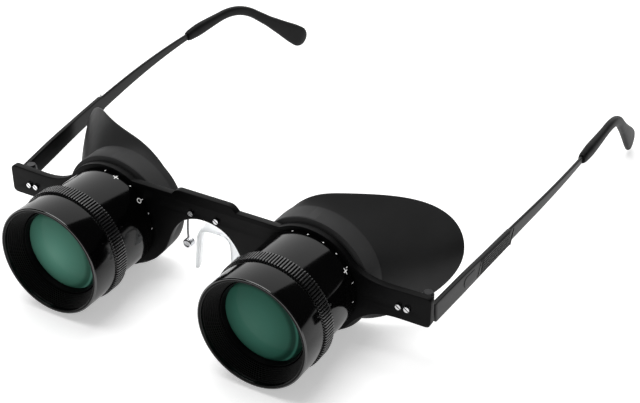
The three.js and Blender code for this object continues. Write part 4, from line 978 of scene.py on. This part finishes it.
# Scale marks round the skirt's rear end: angle in degrees from plus X, kind, place along Y. A stroke
# has its direction, half length, half width and squareness.
markSet = {
    "paint": 0.02, "zeroAcross": 0.6, "zeroUpright": 0.66, "zeroLine": 0.13,
    "strokes": {
        "dot": [("along", 0.22, 0.22, 1)],
        "tick": [("along", 0.36, 0.13, 0.5)],
        "plus": [("around", 0.95, 0.16, 0.4), ("along", 0.8, 0.16, 0.4)],
        "zero": [],
    },
    "right": [(90, "tick", -0.65), (74, "plus", -1.35), (56, "dot", -0.6), (38, "zero", -1.5),
              (37, "tick", -0.42), (20.5, "dot", -0.6), (2.5, "tick", -0.75)],
    "left": [(105, "dot", -0.6), (87, "dot", -0.65), (69, "dot", -0.7), (52, "dot", -0.7),
             (33, "plus", -1.75), (35, "tick", -0.6), (18, "tick", -0.95), (-2, "tick", -2.0)],
}


# Marks are drawn flat, along the barrel and round it, then wrapped on the skirt's cylinder. The zero is
# a flattened ring whose line goes round an ellipse.
def addMarks(side, x):
    s = markSet
    along, around, out = np.array([0, 1, 0]), np.array([1, 0, 0]), np.array([0, 0, 1])
    grids = []
    for degrees, kind, y in s[side]:
        centre = np.array([0, y, 0])
        flat = []
        for direction, halfLength, halfWidth, power in s["strokes"][kind]:
            first, second = (along, around) if direction == "along" else (around, along)
            flat.append(strokeGrid(centre, first, second, out, halfLength, halfWidth, s["paint"], power))
        if kind == "zero":
            u = np.linspace(0, 2 * pi, 40, endpoint=False)[None, :]
            v = np.linspace(0, 2 * pi, 9)[:, None]
            line = s["zeroLine"] * np.cos(v)
            across, upright = (s["zeroAcross"] + line) * np.cos(u), (s["zeroUpright"] + line) * np.sin(u)
            flat.append(centre + across[..., None] * along + upright[..., None] * around
                        + (s["paint"] * np.sin(v) + 0 * u)[..., None] * out)
        for grid in flat:
            angle = radians(degrees) + grid[..., 0] / focus["skirt"]
            radius = focus["skirt"] + grid[..., 2]
            wrapped = [x + radius * np.cos(angle), grid[..., 1], axisHeight + radius * np.sin(angle)]
            grids.append(np.stack(wrapped, -1))
    addPiece(f"scale_marks_{side}", grids, "paint", f"{side}_focus")


# Studio: a white floor that glows and two soft boxes. The levels are the room's light as the camera sees
# it, on dull surfaces and in reflections, where it is dark.
floorFinish = {
    "name": "paleFloor",
    "sockets": {"Roughness": 0.6, "Specular IOR Level": 0.2, "Emission Strength": 0.42,
                "Emission Color": (1, 1, 1, 1)},
    "colour": (6, (0.86, 0.86, 0.86), (0.9, 0.9, 0.9)),
}
studio = {
    "floor": -0.0292, "size": 6.0, "seen": 1.0, "ambient": 0.25, "reflected": 0.03,
    "lamps": [("top softbox", (-0.15, 0.0, 1.0), (0, 0.03, 0), (0.8, 0.8), 7.5),
              ("backdrop", (-0.75, 0.95, 0.93), (-0.75, 0, 0.93), (2.15, 1.9), 19)],
}


def addLight(name, place, target, size, power):
    data = bpy.data.lights.new(name, "AREA")
    data.shape = "RECTANGLE"
    data.size, data.size_y = size
    data.energy = power
    lamp = bpy.data.objects.new(name, data)
    lamp.location = place
    away = np.array(place) - np.array(target)
    lamp.rotation_euler = Vector(away).to_track_quat("Z", "Y").to_euler()
    bpy.context.scene.collection.objects.link(lamp)


def addStudio():
    size, height = studio["size"], studio["floor"]
    corners = [(-size, -size, height), (size, -size, height), (size, size, height), (-size, size, height)]
    mesh = bpy.data.meshes.new("floor")
    mesh.from_pydata(corners, [], [(0, 1, 2, 3)])
    mesh.materials.append(newMaterial(floorFinish))
    floor = bpy.data.objects.new("floor", mesh)
    bpy.context.scene.collection.objects.link(floor)
    world = bpy.data.worlds.new("studio")
    bpy.context.scene.world = world
    world.use_nodes = True
    tree = world.node_tree
    path = tree.nodes.new("ShaderNodeLightPath")
    room = tree.nodes["Background"]
    room.inputs["Color"].default_value = (1, 1, 1, 1)
    level = None
    for ray, strength in (("Is Camera Ray", studio["seen"]), ("Is Diffuse Ray", studio["ambient"])):
        part = tree.nodes.new("ShaderNodeMath")
        part.operation = "MULTIPLY_ADD"
        part.inputs[1].default_value = strength
        part.inputs[2].default_value = studio["reflected"]
        tree.links.new(path.outputs[ray], part.inputs[0])
        if level:
            tree.links.new(level, part.inputs[2])
        level = part.outputs["Value"]
    tree.links.new(level, room.inputs["Strength"])
    for lamp in studio["lamps"]:
        addLight(*lamp)
    bpy.context.scene.view_settings.view_transform = "Standard"


addCamera()
addStudio()
print("camera and studio set")
addFrontFrame()
for name in screwPlaces():
    bevelledCopy(name, f"{name}_look", "steel", "frame", 0.07)
print("front frame and screws made")
for side, sign in sides.items():
    addObjective(side, sign * barrelX)
    addFocusRing(side, sign * barrelX)
    addEyepiece(side, sign * barrelX)
    addMarks(side, sign * barrelX)
    addEyecup(side, sign)
    addTemple(side, sign)
    addTip(side)
    bevelledCopy(f"hinge_leaf_{side}", f"hinge_leaf_look_{side}", "hinge", "frame", 0.15)
    bevelledCopy(f"hinge_pin_{side}", f"hinge_pin_look_{side}", "hinge", "frame", 0.1)
    bevelledCopy(f"guide_screw_{side}", f"guide_screw_look_{side}", "steel", "frame", 0.1)
    print("side made:", side)
addNosePiece()
addSaddle()
print("nose piece made")
